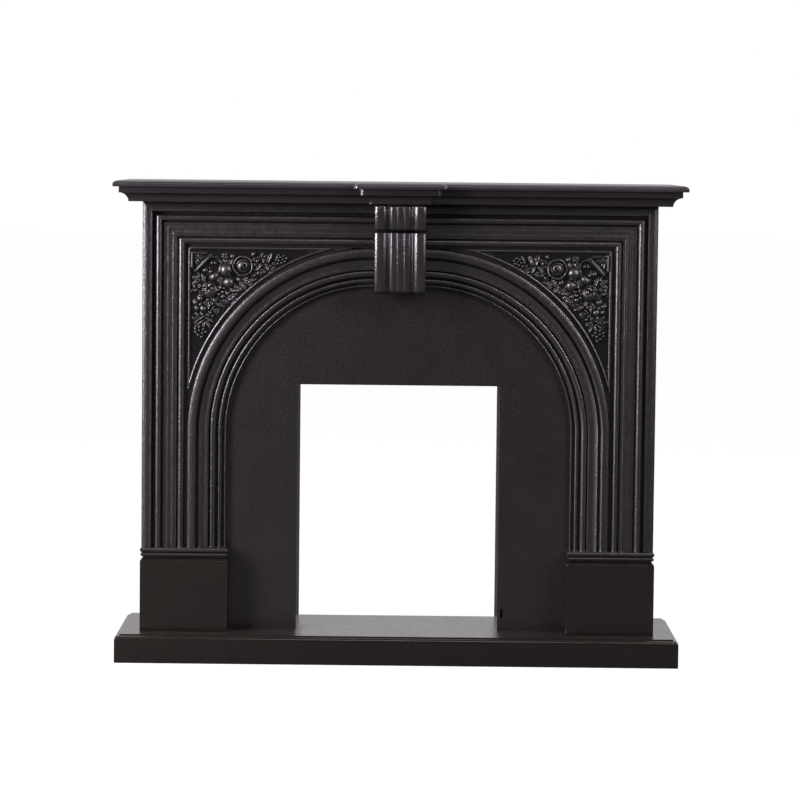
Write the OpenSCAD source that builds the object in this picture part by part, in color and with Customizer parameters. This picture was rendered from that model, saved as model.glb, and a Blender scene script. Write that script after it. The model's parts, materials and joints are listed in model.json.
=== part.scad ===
// Mantel surround with a boxed hearth, open in the middle for an electric fire.
// A three-sided frame of mouldings runs round an arch of receding beads, with
// carved spandrels, a two-part keystone corbel and a shelf with a break-front.
// X runs along the front, Y from the front to the wall and Z up from the floor.

/* [Overall] */
// Width over the outer edges of the frame mouldings
body_w = 1084; // [1000:1:1300]
// Depth from the wall to the front of the frame mouldings
body_d = 230; // [190:1:320]
// Height from the floor to the top of the shelf
total_h = 1014; // [980:1:1150]

/* [Hearth] */
// Height of the hearth
hearth_h = 60; // [50:1:80]
// How far the hearth reaches past the frame, at the front and the sides
hearth_out = 52; // [30:1:90]
// Thickness of the moulded top board of the hearth
hearth_top_t = 25; // [20:0.5:34]
// Radius of the rounded edge of the hearth
hearth_edge_r = 8; // [3:0.5:12]
// Height of the step above the rounded edge of the hearth
hearth_step_h = 3; // [1:0.5:6]
// Set-back of the step above the rounded edge of the hearth
hearth_step_in = 2; // [1:0.5:6]
// Thickness of the rails and battens under the hearth top
hearth_rail_t = 18; // [12:1:30]
// Width of each batten under the hearth top
hearth_batten_w = 44; // [30:1:80]

/* [Shelf] */
// How far the nose of the shelf reaches past the frame
shelf_out = 58; // [45:1:90]
// Height of the rounded nose of the shelf
nose_h = 13; // [10:0.5:20]
// Width of the rounding on top of the nose
nose_round_w = 15; // [8:0.5:20]
// Upright part of the nose below its rounding
nose_flat_h = 3; // [1:0.5:6]
// Chamfer on the lower edge of the nose
nose_chamfer = 1; // [0.5:0.25:2]
// Height of the fascia under the nose
fascia_h = 7; // [4:0.5:12]
// Set-back of the fascia behind the nose
fascia_in = 12; // [6:0.5:16]
// Height of the upright fillet at the top of the cove
cove_fillet_h = 5.5; // [3:0.5:10]
// Radius of the cove under the shelf
cove_r = 18.5; // [12:0.5:24]
// Width of the cove moulding behind the fascia line
bed_w = 40; // [34:1:60]
// Width of the break-front at its nose
break_w = 194; // [180:1:260]
// How far the break-front stands out from the shelf nose
break_out = 30; // [15:1:60]

/* [Frame mouldings] */
// Thickness of the frame mouldings
frame_t = 27; // [24:0.5:40]
// Thickness of the backing strips under the frame mouldings
backer_t = 18; // [15:0.5:25]
// Width of the outer roll
roll_w = 21.5; // [16:0.5:30]
// Width of the rounding on each side of the outer roll
roll_round = 5; // [3:0.5:7]
// Crown on the face of the outer roll
roll_crown = 0.6; // [0.3:0.1:1.5]
// Width of the groove beside the outer roll
roll_groove_w = 6; // [4:0.5:10]
// Width of the first bead
bead_w = 13.5; // [9:0.5:18]
// Width of the fine quirk beside the first bead
quirk_w = 2.5; // [1.5:0.5:4]
// Width of the double wave in the middle of the frame moulding
wave_w = 30; // [20:0.5:40]
// Width of the inner one of the two waves
wave_2_w = 13.5; // [8:0.5:16]
// Width of the inner bead
inner_bead_w = 15.5; // [10:0.5:20]
// Width of the deep groove between frame and arch
frame_groove_w = 5; // [3:0.5:8]
// Set-back of the outer side of the roll behind the frame front
roll_side_in = 6; // [3:0.5:9]
// Set-back of the groove beside the outer roll
roll_groove_in = 10; // [7:0.5:13]
// Set-back of the foot of the first bead
bead_in = 9; // [7:0.5:12]
// Set-back of the fine quirk
quirk_in = 9.5; // [7:0.5:13]
// Set-back of the double wave where it starts
wave_in = 7.5; // [4:0.5:10]
// Fall of the double wave from its outer to its inner side
wave_fall = 4.5; // [2:0.5:6]
// Set-back of the foot of the inner bead
inner_bead_in = 14; // [11:0.5:17]
// Set-back of the deep groove between frame and arch
frame_groove_in = 22.5; // [20:0.5:23]

/* [Arch mouldings] */
// Width of the roll on the outer edge of the arch
arch_roll_w = 19.5; // [15:0.5:24]
// Width of the rounding on each side of the arch roll
arch_roll_round = 5.5; // [3:0.5:7]
// Width of the fine line inside the arch roll
arch_line_w = 2; // [1:0.5:4]
// Width of the sloping hollow of the arch
arch_cove_w = 24.5; // [18:0.5:34]
// Width of the large bead of the arch
arch_bead_w = 12.5; // [9:0.5:16]
// Width of the groove between the large and the middle bead
arch_groove_w = 4; // [3:0.5:7]
// Width of the middle bead of the arch
arch_bead_2_w = 9; // [6:0.5:12]
// Width of the groove between the middle and the thin bead
arch_groove_2_w = 5.5; // [3:0.5:8]
// Width of the thin bead next to the infill panel
arch_bead_3_w = 5.5; // [4:0.5:8]
// Height of the face of the arch roll above the infill panel
arch_roll_h = 38.5; // [36:0.5:41]
// Height of the fine line inside the arch roll
arch_line_h = 29; // [26:0.5:32]
// Height of the hollow of the arch at its outer side
arch_cove_h = 33; // [30:0.5:36]
// Fall of the hollow of the arch from its outer side to its middle, and again to its inner side
arch_cove_fall = 5; // [3:0.5:7]
// Height of the foot of the large bead of the arch
arch_bead_h = 18; // [15:0.5:21]
// Height of the groove beside the large bead
arch_groove_h = 15; // [12:0.5:18]
// Height of the foot of the middle bead
arch_bead_2_h = 13.5; // [10:0.5:16]
// Height of the groove beside the middle bead
arch_groove_2_h = 6; // [4:0.5:8]
// Height of the foot of the thin bead
arch_bead_3_h = 5.5; // [4:0.5:8]
// Length of the straight stretch at the crown of the arch
crown_w = 110; // [108:1:180]

/* [Infill panel and opening] */
// Thickness of the infill panel
panel_t = 18; // [15:0.5:25]
// Width of the opening for the fire
opening_w = 430; // [380:1:520]
// Height of the opening above the hearth
opening_h = 524; // [420:1:600]
// Thickness of the boards that line the opening
reveal_t = 15; // [12:0.5:22]
// Width of the cable slot beside the opening
slot_w = 5; // [4:0.5:8]
// Height of the cable slot
slot_h = 19; // [12:0.5:30]
// Distance from the opening to the cable slot
slot_in = 6.5; // [5:0.5:7]
// Height of the foot of the cable slot above the hearth
slot_up = 28; // [20:1:60]
// Clearance of the notch in the reveal round the cable slot
slot_clear = 1.5; // [0.5:0.5:3]

/* [Plinths] */
// Height of each plinth block
plinth_h = 158; // [120:1:180]
// How far each plinth stands proud of the mouldings above it
plinth_out = 2.5; // [1:0.5:6]
// How far each plinth reaches past the inner edge of the arch moulding
plinth_side_out = 7; // [3:0.5:12]
// Chamfer on the top edges of each plinth block
plinth_chamfer = 8; // [3:0.5:12]
// Height of the set-back strip on top of each plinth
cap_strip_h = 9.5; // [5:0.5:15]
// Set-back of that strip
cap_strip_in = 3; // [1:0.5:6]
// Height of the bead on top of the strip
cap_bead_h = 10.5; // [6:0.5:14]

/* [Keystone corbel] */
// Width of the corbel
corbel_w = 107; // [90:1:108]
// Height of the upper console
upper_h = 56.5; // [40:0.5:70]
// Height of the dark neck between the consoles
neck_h = 4.5; // [3:0.5:12]
// Height of the lower console
lower_h = 128; // [110:1:150]
// How far the upper console stands out from the frame
upper_out = 55; // [45:1:57]
// How far the lower console stands out from the frame
lower_out = 42; // [36:1:50]
// Radius of the upper console's bowed front
upper_r = 60; // [56:1:90]
// Radius of the lower console's bowed front
lower_r = 150; // [130:5:250]
// Distance from the top of the upper console down to its crest
upper_crest = 8; // [4:1:14]
// Distance from the top of the lower console down to its crest
lower_crest = 19.2; // [10:0.2:30]
// Radius of the curl at the foot of the upper console
upper_curl = 14; // [6:1:18]
// Radius of the curl at the foot of the lower console
lower_curl = 22; // [10:1:26]
// Width of the outer rib on each side of the corbel
rib_w = 23.5; // [18:0.5:26]
// Width of the groove beside each rib
rib_groove_w = 8; // [6:0.5:12]
// Width of the reed along the middle
middle_reed_w = 14.5; // [12:0.5:20]
// Set-back of the foot of the reeds behind the ribs
reed_in = 3; // [2:0.5:4]
// Crown of the reeds
reed_crown = 2.2; // [1:0.1:3]
// Depth of the grooves in the corbel
rib_groove_d = 8; // [4:0.5:10]
// Set-back of the corbel's core behind the frame front
core_in = 11; // [8:1:16]

/* [Spandrels] */
// Set-back of the spandrel field behind the frame front
field_in = 23; // [18:0.5:30]
// Least width at the pointed ends of the spandrel field
field_tip = 3; // [2:0.5:5]
// Width of the bead that borders the spandrel
border_w = 6; // [4:0.5:8]
// Gap between the frame and the border bead
border_in = 0.5; // [0.5:0.5:8]
// Gap between the arch and the border bead
border_arch_in = 6; // [4:0.5:16]
// Height of the tallest carved form above the field
carving_h = 11; // [6:0.5:14]
// Thickness of the ground that the carving stands on
carving_ground = 1.5; // [1:0.5:3]
// Width of the carving at its pointed ends
carving_end_w = 6; // [4:0.5:12]

/* [Carcass] */
// Thickness of the side panels, rails and battens of the carcass
board_t = 18; // [15:0.5:25]
// Width of the battens in the corners and behind the panel
batten_w = 30; // [20:1:44]
// Height of the rail across the top of the open back
top_rail_h = 90; // [60:1:120]
// Height of the rails across the foot of the open back
foot_rail_h = 60; // [40:1:90]
// Height of the cleats along the side panels
cleat_h = 20; // [15:1:40]

/* [Fixings] */
// Thickness of the wall brackets
bracket_t = 2; // [1.5:0.5:4]
// Length of each leg of a wall bracket
bracket_leg = 40; // [30:1:50]
// Height of a wall bracket
bracket_h = 36; // [30:1:50]
// Diameter of the wall fixing hole in each bracket
wall_hole_d = 6; // [4:0.5:8]
// Gap between the top back rail and the upper wall brackets
bracket_drop = 62; // [40:1:200]
// Height of the lower wall fixings above the floor
wall_fix_z = 240; // [200:5:260]
// Diameter of the screws that hold the brackets
screw_d = 4; // [3:0.5:5]
// Length of the screws that hold the brackets
screw_l = 14; // [10:1:16]
// Depth that the screw holes leave free behind the screws
screw_spare = 0.5; // [0.5:0.5:2]
// Diameter of the dowels
dowel_d = 8; // [6:1:10]
// Length of the dowels
dowel_l = 28; // [20:1:30]
// How deep the dowels go into the side panels
dowel_in = 11; // [6:1:12]
// Number of dowels on each side
dowel_count = 4; // [3:1:6]
// Clearance round dowels, screws and the corbel
fit = 0.2; // [0.1:0.05:0.4]

/* [Hidden] */
$fn = 64;
arc_steps = 8;
// How far cuts run past the faces that they open
past = 1;

black = "#262425";
raw_board = "#b8946a";
pine = "#d8b98a";
zinc = "#b9bcc0";

// Depths, from the wall at the back to the nose of the break-front
front_out = max(shelf_out + break_out, hearth_out);
wall_y = (body_d + front_out) / 2;
frame_y = wall_y - body_d;
backer_y = frame_y + frame_t;
panel_y = backer_y + backer_t;
panel_back_y = panel_y + panel_t;
field_y = frame_y + field_in;
hearth_y = frame_y - hearth_out;
nose_y = frame_y - shelf_out;

// Heights, from the floor up
shelf_top_h = nose_h + fascia_h;
bed_h = cove_fillet_h + cove_r;
frame_top = total_h - shelf_top_h - bed_h;
shelf_z = frame_top + bed_h;
plinth_top = hearth_h + plinth_h;
cap_top = plinth_top + cap_strip_h + cap_bead_h;
opening_top = hearth_h + opening_h;

// Widths, as distances from the middle
frame_x = body_w / 2;
side_x = frame_x - board_t;
nose_x = frame_x + shelf_out;
hearth_x = frame_x + hearth_out;
opening_x = opening_w / 2;
corbel_x = corbel_w / 2;
bed_in = fascia_in + bed_w;

// Frame moulding, from its outer edge inwards, as bands:
// [width, height at the outer side, height at the inner side, crown]
frame_bands = [
    [roll_round, frame_t - roll_side_in, frame_t - roll_crown, 1.6],
    [roll_w - 2 * roll_round, frame_t - roll_crown, frame_t - roll_crown, roll_crown],
    [roll_round, frame_t - roll_crown, frame_t - roll_side_in + 1, 1.3],
    [roll_groove_w, frame_t - roll_groove_in, frame_t - roll_groove_in, 0],
    [bead_w, frame_t - bead_in, frame_t - bead_in, bead_w / 2],
    [quirk_w, frame_t - quirk_in, frame_t - quirk_in, 0],
    [wave_w - wave_2_w, frame_t - wave_in, frame_t - wave_in - 1, 2.2],
    [wave_2_w, frame_t - wave_in - 1, frame_t - wave_in - wave_fall, 1.8],
    [inner_bead_w, frame_t - inner_bead_in, frame_t - inner_bead_in, inner_bead_w / 2],
    [frame_groove_w, frame_t - frame_groove_in, frame_t - frame_groove_in, 0]
];

// Arch moulding, from its outer edge inwards, stepping back towards the panel
arch_bands = [
    [arch_roll_round, arch_roll_h - arch_roll_round, arch_roll_h - roll_crown, 1.6],
    [arch_roll_w - 2 * arch_roll_round, arch_roll_h - roll_crown, arch_roll_h - roll_crown, roll_crown],
    [arch_roll_round, arch_roll_h - roll_crown, arch_roll_h - arch_roll_round, 1.3],
    [arch_line_w, arch_line_h, arch_line_h, 0],
    [arch_cove_w / 2, arch_cove_h, arch_cove_h - arch_cove_fall, -1.5],
    [arch_cove_w / 2, arch_cove_h - arch_cove_fall, arch_cove_h - 2 * arch_cove_fall, 1.2],
    [arch_bead_w, arch_bead_h, arch_bead_h, arch_bead_w / 2],
    [arch_groove_w, arch_groove_h, arch_groove_h, 0],
    [arch_bead_2_w, arch_bead_2_h, arch_bead_2_h, arch_bead_2_w / 2],
    [arch_groove_2_w, arch_groove_2_h, arch_groove_2_h, 0],
    [arch_bead_3_w, arch_bead_3_h, arch_bead_3_h, arch_bead_3_w / 2]
];

// Corbel front, across its whole width, as heights above the bottom of its grooves
half_bands = [
    [4, rib_groove_d - 4, rib_groove_d, 1.2],
    [rib_w - 8, rib_groove_d, rib_groove_d, 0.8],
    [4, rib_groove_d, rib_groove_d - 4, 1.2],
    [rib_groove_w / 3, 0, 0, 0],
    [rib_groove_w / 3, 0, 0, rib_groove_w / 6],
    [rib_groove_w / 3, 0, 0, 0],
    [(corbel_w - middle_reed_w) / 2 - rib_w - rib_groove_w, rib_groove_d - reed_in, rib_groove_d - reed_in,
        reed_crown]
];
middle_reed = [[middle_reed_w, rib_groove_d - reed_in, rib_groove_d - reed_in, reed_crown]];
corbel_bands = concat(
    half_bands, middle_reed, [for (i = [len(half_bands) - 1:-1:0]) flipped(half_bands[i])]
);

// Place of the arch: two quarter circles joined by a straight crown
frame_w = total_width(frame_bands);
arch_w = total_width(arch_bands);
arch_x = frame_x - frame_w;
arch_top = frame_top - frame_w;
arch_r = arch_x - crown_w / 2;
spring_x = crown_w / 2;
spring_z = arch_top - arch_r;
leg_x = arch_x - arch_w;
plinth_x = leg_x - plinth_side_out;

// Spandrel border, a triangle of two straight beads and an arc
border_r = arch_r + border_arch_in + border_w / 2;
border_line = arch_r - border_in - border_w / 2;
field_end = sqrt(pow(arch_r, 2) - pow(arch_r - field_tip, 2));

// Carved fruit and flowers of a spandrel, measured from its corner:
// [across, down, half length, share of the height, width to length, turn, petals]
carve_columns = 72;
carve_rows = 24;
carved_forms = [
    [122, 44, 21, 1, 1, 0, 6],
    [122, 44, 8, 1, 1, 0, 0],
    [86, 53, 14, 0.85, 1, 0, 0],
    [62, 69, 11, 0.7, 1, 0, 0],
    [80, 71, 15, 0.55, 0.45, 40, 0],
    [93, 83, 11, 0.7, 1, 0, 0],
    [54, 94, 15.5, 0.9, 1, 0, 0],
    [42, 82, 9, 0.7, 0.6, 45, 0],
    [47, 55, 7, 0.45, 1, 0, 0],
    [60, 39, 6, 0.4, 1, 0, 0],
    [28, 91, 17, 0.4, 0.45, -75, 0],
    [37, 68, 13, 0.4, 0.45, -50, 0],
    [152, 33, 15, 0.5, 0.5, 15, 0],
    [176, 27, 19, 0.5, 0.42, 5, 0],
    [131, 72, 14, 0.4, 0.45, -40, 0],
    [113, 90, 12, 0.4, 0.45, -45, 0],
    [95, 110, 13, 0.4, 0.45, -50, 0],
    [56, 123, 14, 0.6, 1, 0, 5],
    [36, 158, 20, 0.5, 0.4, -80, 0],
    [32, 129, 8, 0.45, 1, 0, 4],
    [78, 101, 7, 0.4, 1, 0, 3],
    [26, 186, 8, 0.4, 1, 0, 4],
    [202, 25, 7, 0.4, 1, 0, 3],
    [16, 33, 17, 0.35, 0.25, 90, 0],
    [32, 18, 15, 0.35, 0.25, 0, 0],
    [40, 40, 24, 0.3, 0.18, -45, 0]
];

// Corbel heights
upper_z = frame_top - upper_h;
lower_top = upper_z - neck_h;
lower_z = lower_top - lower_h;
core_y = frame_y + core_in;

// Carcass places
rail_z = frame_top - top_rail_h;
back_y = wall_y - board_t;
screw_gap = bracket_h / 2;

// Sum of the widths of the first n bands
function width_to(bands, n) = n == 0 ? 0 : bands[n - 1][0] + width_to(bands, n - 1);
function total_width(bands) = width_to(bands, len(bands));
function flipped(band) = [band[0], band[2], band[1], band[3]];

// One band as points: a sloping line with a circular crown on it, or a hollow if the crown is negative
function band_points(start, band) = let (
    w = band[0],
    c = band[3],
    r = c == 0 ? 1 : (w * w / 4 + c * c) / (2 * abs(c)),
    a_max = c == 0 ? 0 : asin(min(1, w / 2 / r))
)
    c == 0 ? [[start, band[1]], [start + w, band[2]]] :
    [for (i = [0:arc_steps]) let (
        a = a_max * (2 * i / arc_steps - 1),
        t = (1 + sin(a) / sin(a_max)) / 2
    )
        [start + w * t, band[1] + (band[2] - band[1]) * t + sign(c) * r * (cos(a) - cos(a_max))]];

// The face of a moulding as [distance from the outer edge, height above its back]
function face_points(bands) = [
    for (i = [0:len(bands) - 1]) each band_points(width_to(bands, i), bands[i])
];
function outline(bands) = concat([[0, 0]], face_points(bands), [[total_width(bands), 0]]);

// A quarter round from the front of an edge up to its top
function rounded(w, h, in, z) = [
    for (i = [0:arc_steps]) let (a = 90 * i / arc_steps) [in + w * (1 - cos(a)), z + h * sin(a)]
];
// A quarter hollow from the foot of an edge out to its top
function hollow(r, in) = [
    for (i = [0:arc_steps]) let (a = 90 * i / arc_steps) [in + r * cos(a), r * sin(a)]
];

// Edges of boards from bottom to top, as [distance in from the front, height]
hearth_edge = concat(
    [[0, 0]],
    rounded(hearth_edge_r, hearth_edge_r, 0, hearth_top_t - hearth_step_h - hearth_edge_r),
    [[hearth_edge_r + hearth_step_in, hearth_top_t - hearth_step_h]],
    [[hearth_edge_r + hearth_step_in, hearth_top_t]]
);
shelf_edge = concat(
    [[fascia_in, 0], [fascia_in, fascia_h], [nose_chamfer, fascia_h], [0, fascia_h + nose_chamfer]],
    rounded(nose_round_w, nose_h - nose_flat_h, 0, fascia_h + nose_flat_h)
);
bed_edge = concat(hollow(cove_r, fascia_in), [[fascia_in, bed_h]]);
plinth_edge = [[0, 0], [0, plinth_h - plinth_chamfer], [plinth_chamfer, plinth_h]];
cap_edge = concat(
    [[cap_strip_in, 0], [cap_strip_in, cap_strip_h]],
    [for (i = [0:2 * arc_steps]) let (a = 180 * i / (2 * arc_steps) - 90)
        [cap_bead_h / 2 * (1 - cos(a)), cap_strip_h + cap_bead_h / 2 * (1 + sin(a))]]
);

// A flat shape in Y and Z, carried along X
module along_x(x0, x1) {
    translate([x0, 0, 0]) rotate([90, 0, 90]) linear_extrude(x1 - x0) children();
}

// A flat shape in X and Z, carried along Y
module along_y(y0, y1) {
    translate([0, y1, 0]) rotate([90, 0, 0]) linear_extrude(y1 - y0) children();
}

// A box from one corner to the other
module block(x0, x1, y0, y1, z0, z1) {
    translate([x0, y0, z0]) cube([x1 - x0, y1 - y0, z1 - z0]);
}

// The piece and its mirror image on the other side of the middle
module both_sides() {
    children();
    mirror([1, 0, 0]) children();
}

// A board whose front and both ends have the same moulded edge, with mitred corners
module edged_board(x0, x1, front, back, z, edge) {
    top = edge[len(edge) - 1][1];
    translate([0, 0, z]) intersection() {
        along_x(x0, x1)
            polygon(concat([[back, 0]], [for (p = edge) [front + p[0], p[1]]], [[back, top]]));
        along_y(front, back)
            polygon(concat(
                [for (p = edge) [x0 + p[0], p[1]]],
                [for (i = [len(edge) - 1:-1:0]) [x1 - edge[i][0], edge[i][1]]]
            ));
    }
}

// Hearth
module hearth_top() {
    color(black)
        edged_board(-hearth_x, hearth_x, hearth_y, wall_y, hearth_h - hearth_top_t, hearth_edge);
}

module hearth_front_rail() {
    color(black)
        block(-hearth_x, hearth_x, hearth_y, hearth_y + hearth_rail_t, 0, hearth_h - hearth_top_t);
}

module hearth_side_rail() {
    color(black)
        block(-hearth_x, -hearth_x + hearth_rail_t, hearth_y + hearth_rail_t, wall_y,
            0, hearth_h - hearth_top_t);
}

module hearth_left_rail() {
    hearth_side_rail();
}

module hearth_right_rail() {
    mirror([1, 0, 0]) hearth_side_rail();
}

module hearth_back_rail() {
    inner_x = hearth_x - hearth_rail_t;
    color(raw_board)
        block(-inner_x, inner_x, wall_y - hearth_rail_t, wall_y, 0, hearth_h - hearth_top_t);
}

module hearth_battens() {
    color(pine)
        for (x = [-1:1]) translate([x * (hearth_x + opening_x) / 2, 0, 0])
            block(-hearth_batten_w / 2, hearth_batten_w / 2,
                hearth_y + hearth_rail_t, wall_y - hearth_rail_t, 0, hearth_h - hearth_top_t);
}

// Infill panel with the opening and the cable slot, and the boards behind it
module cable_slot(grow, y0, y1) {
    block(opening_x + slot_in - grow, opening_x + slot_in + slot_w + grow, y0, y1,
        hearth_h + slot_up - grow, hearth_h + slot_up + slot_h + grow);
}

module dowel_holes(r) {
    step = (frame_top - cap_top) / (dowel_count + 1);
    for (i = [1:dowel_count])
        translate([-side_x - dowel_in, panel_y + panel_t / 2, cap_top + step * i])
            rotate([0, 90, 0]) cylinder(h = dowel_l + 2 * (r - dowel_d / 2), r = r);
}

module infill_panel() {
    color(black) difference() {
        block(-side_x, side_x, panel_y, panel_back_y, hearth_h, frame_top);
        block(-opening_x, opening_x, panel_y - past, panel_back_y + past, hearth_h - past, opening_top);
        cable_slot(0, panel_y - past, panel_back_y + past);
        both_sides() dowel_holes(dowel_d / 2 + fit);
    }
}

module side_panel() {
    color(black) difference() {
        block(-frame_x, -side_x, panel_y, wall_y, hearth_h, frame_top);
        dowel_holes(dowel_d / 2 + fit);
        bracket_screw_holes(screw_d / 2 + fit / 2);
    }
}

module left_side_panel() {
    side_panel();
}

module right_side_panel() {
    mirror([1, 0, 0]) side_panel();
}

module left_reveal() {
    color(black)
        block(-opening_x - reveal_t, -opening_x, panel_back_y, wall_y, hearth_h, opening_top);
}

module right_reveal() {
    color(black) difference() {
        block(opening_x, opening_x + reveal_t, panel_back_y, wall_y, hearth_h, opening_top);
        cable_slot(slot_clear, panel_back_y - past, panel_back_y + reveal_t);
        block(opening_x + slot_in, opening_x + reveal_t + past, panel_back_y - past, panel_back_y + reveal_t,
            hearth_h + slot_up - slot_clear, hearth_h + slot_up + slot_h + slot_clear);
    }
}

module lintel_reveal() {
    lined_x = opening_x + reveal_t;
    color(black)
        block(-lined_x, lined_x, panel_back_y, wall_y, opening_top, opening_top + reveal_t);
}

// Backing strips that bring the frame mouldings forward of the infill panel
module jamb_backer() {
    color(black) block(-frame_x, -arch_x, backer_y, panel_y, cap_top, frame_top);
}

module left_jamb_backer() {
    jamb_backer();
}

module right_jamb_backer() {
    mirror([1, 0, 0]) jamb_backer();
}

module header_backer() {
    color(black) block(-arch_x, arch_x, backer_y, panel_y, arch_top, frame_top);
}

// Frame mouldings, mitred at the top corners and stopped at the corbel
module jamb_moulding() {
    color(black) intersection() {
        translate([0, 0, cap_top]) linear_extrude(frame_top - cap_top)
            polygon([for (p = outline(frame_bands)) [-frame_x + p[0], backer_y - p[1]]]);
        along_y(frame_y - past, backer_y)
            polygon([[-frame_x, cap_top], [-arch_x, cap_top], [-arch_x, arch_top], [-frame_x, frame_top]]);
    }
}

module left_jamb_moulding() {
    jamb_moulding();
}

module right_jamb_moulding() {
    mirror([1, 0, 0]) jamb_moulding();
}

module header_moulding() {
    end_x = corbel_x + fit;
    color(black) intersection() {
        along_x(-frame_x, -end_x)
            polygon([for (p = outline(frame_bands)) [backer_y - p[1], frame_top - p[0]]]);
        along_y(frame_y - past, backer_y)
            polygon([[-frame_x, frame_top], [-arch_x, arch_top], [-end_x, arch_top], [-end_x, frame_top]]);
    }
}

module left_header_moulding() {
    header_moulding();
}

module right_header_moulding() {
    mirror([1, 0, 0]) header_moulding();
}

// One half of the arch: upright leg, quarter-circle haunch and the start of the crown
module arch_moulding() {
    points = outline(arch_bands);
    color(black) difference() {
        union() {
            translate([0, 0, cap_top]) linear_extrude(spring_z - cap_top)
                polygon([for (p = points) [-arch_x + p[0], panel_y - p[1]]]);
            translate([-spring_x, panel_y, spring_z]) rotate([90, 0, 0]) rotate([0, 0, 90])
                rotate_extrude(angle = 90, $fn = 128) polygon([for (p = points) [arch_r - p[0], p[1]]]);
            along_x(-spring_x, 0)
                polygon([for (p = points) [panel_y - p[1], arch_top - p[0]]]);
        }
        block(-corbel_x - fit, corbel_x, frame_y - past, panel_y + past, spring_z, arch_top + past);
    }
}

module left_arch_moulding() {
    arch_moulding();
}

module right_arch_moulding() {
    mirror([1, 0, 0]) arch_moulding();
}

// Spandrels: the sunk field, its border bead and the carved fruit and flowers
module spandrel_panel() {
    color(black) along_y(field_y, panel_y) difference() {
        translate([-arch_x, spring_z + field_end]) square(arch_r - field_end);
        translate([-spring_x, spring_z]) circle(arch_r, $fn = 128);
    }
}

module left_spandrel_panel() {
    spandrel_panel();
}

module right_spandrel_panel() {
    mirror([1, 0, 0]) spandrel_panel();
}

// Flat outline between the two straight sides and the arc, drawn in by the given amount all round
module border_region(inset) {
    side = border_line + border_w / 2 - inset;
    difference() {
        translate([-side, 0]) square(side);
        circle(border_r - border_w / 2 + inset, $fn = 128);
    }
}

// The bead is half round, built up in steps that narrow as a half circle does
module spandrel_border() {
    bead_r = border_w / 2;
    steps = 4;
    color(black) translate([-spring_x, field_y, spring_z]) for (i = [0:steps - 1]) {
        high = bead_r * sin(90 * (i + 1) / steps);
        inset = bead_r * (1 - cos(90 * (i + 0.4) / steps));
        along_y(-high, 0) difference() {
            border_region(inset);
            border_region(border_w - inset);
        }
    }
}

module left_spandrel_border() {
    spandrel_border();
}

module right_spandrel_border() {
    mirror([1, 0, 0]) spandrel_border();
}

// Height of one carved form at a place, a dome that may be stretched, turned and cut into petals
function form_height(form, u, v) = let (
    du = u - form[0],
    dv = v - form[1],
    along = du * cos(form[5]) + dv * sin(form[5]),
    across = dv * cos(form[5]) - du * sin(form[5]),
    q = norm([along, across / form[4]]) / form[2],
    petals = form[6] == 0 ? 0 : 0.25 * q * (1 - cos(form[6] * atan2(across, along)))
)
    q >= 1 ? 0 : form[3] * carving_h * sqrt(1 - q * q) * (1 - petals);
function relief(u, v) = carving_ground + max([for (form = carved_forms) form_height(form, u, v)]);

// The relief is a grid between the arch's border and the two straight borders.
// Column angles are measured from the upright through the centre of the haunch.
carve_line = border_line - border_w / 2 - fit;
carve_arc = border_r + border_w / 2 + fit;
carve_tip = acos(carve_line / (carve_arc + carving_end_w));
function carve_angle(i) = carve_tip + (90 - 2 * carve_tip) * i / carve_columns;
function carve_radius(i, j) = let (edge = carve_line / max(sin(carve_angle(i)), cos(carve_angle(i))))
    carve_arc + (edge - carve_arc) * j / carve_rows;
function carve_point(i, j, lift) = let (
    out = carve_radius(i, j) * sin(carve_angle(i)),
    up = carve_radius(i, j) * cos(carve_angle(i))
)
    [-out, lift ? -relief(arch_r - out, arch_r - up) : 0, up];

module carving() {
    side = carve_rows + 1;
    foot = side * (carve_columns + 1);
    last = carve_columns * side;
    color(black) translate([-spring_x, field_y, spring_z]) polyhedron(
        points = concat(
            [for (i = [0:carve_columns]) for (j = [0:carve_rows]) carve_point(i, j, true)],
            [for (i = [0:carve_columns]) for (j = [0, carve_rows]) carve_point(i, j, false)]
        ),
        faces = concat(
            [for (i = [0:carve_columns - 1]) for (j = [0:carve_rows - 1]) each let (n = i * side + j)
                [[n, n + side, n + side + 1], [n, n + side + 1, n + 1]]],
            [for (i = [0:carve_columns - 1]) each let (n = i * side, m = foot + 2 * i)
                [
                    [n + side, n, m, m + 2],
                    [n + carve_rows, n + side + carve_rows, m + 3, m + 1],
                    [m + 2, m, m + 1, m + 3]
                ]],
            [[for (j = [0:carve_rows]) j, foot + 1, foot]],
            [[for (j = [carve_rows:-1:0]) last + j, foot + 2 * carve_columns, foot + 2 * carve_columns + 1]]
        )
    );
}

module left_carving() {
    carving();
}

module right_carving() {
    mirror([1, 0, 0]) carving();
}

// Keystone corbel: a core against the panel and two bowed consoles on its front
module corbel_core() {
    color(black) along_x(-corbel_x, corbel_x)
        polygon([
            [panel_y, lower_z], [core_y, lower_z + lower_curl / 2], [core_y, frame_top],
            [backer_y, frame_top], [backer_y, arch_top], [panel_y, arch_top]
        ]);
}

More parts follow.
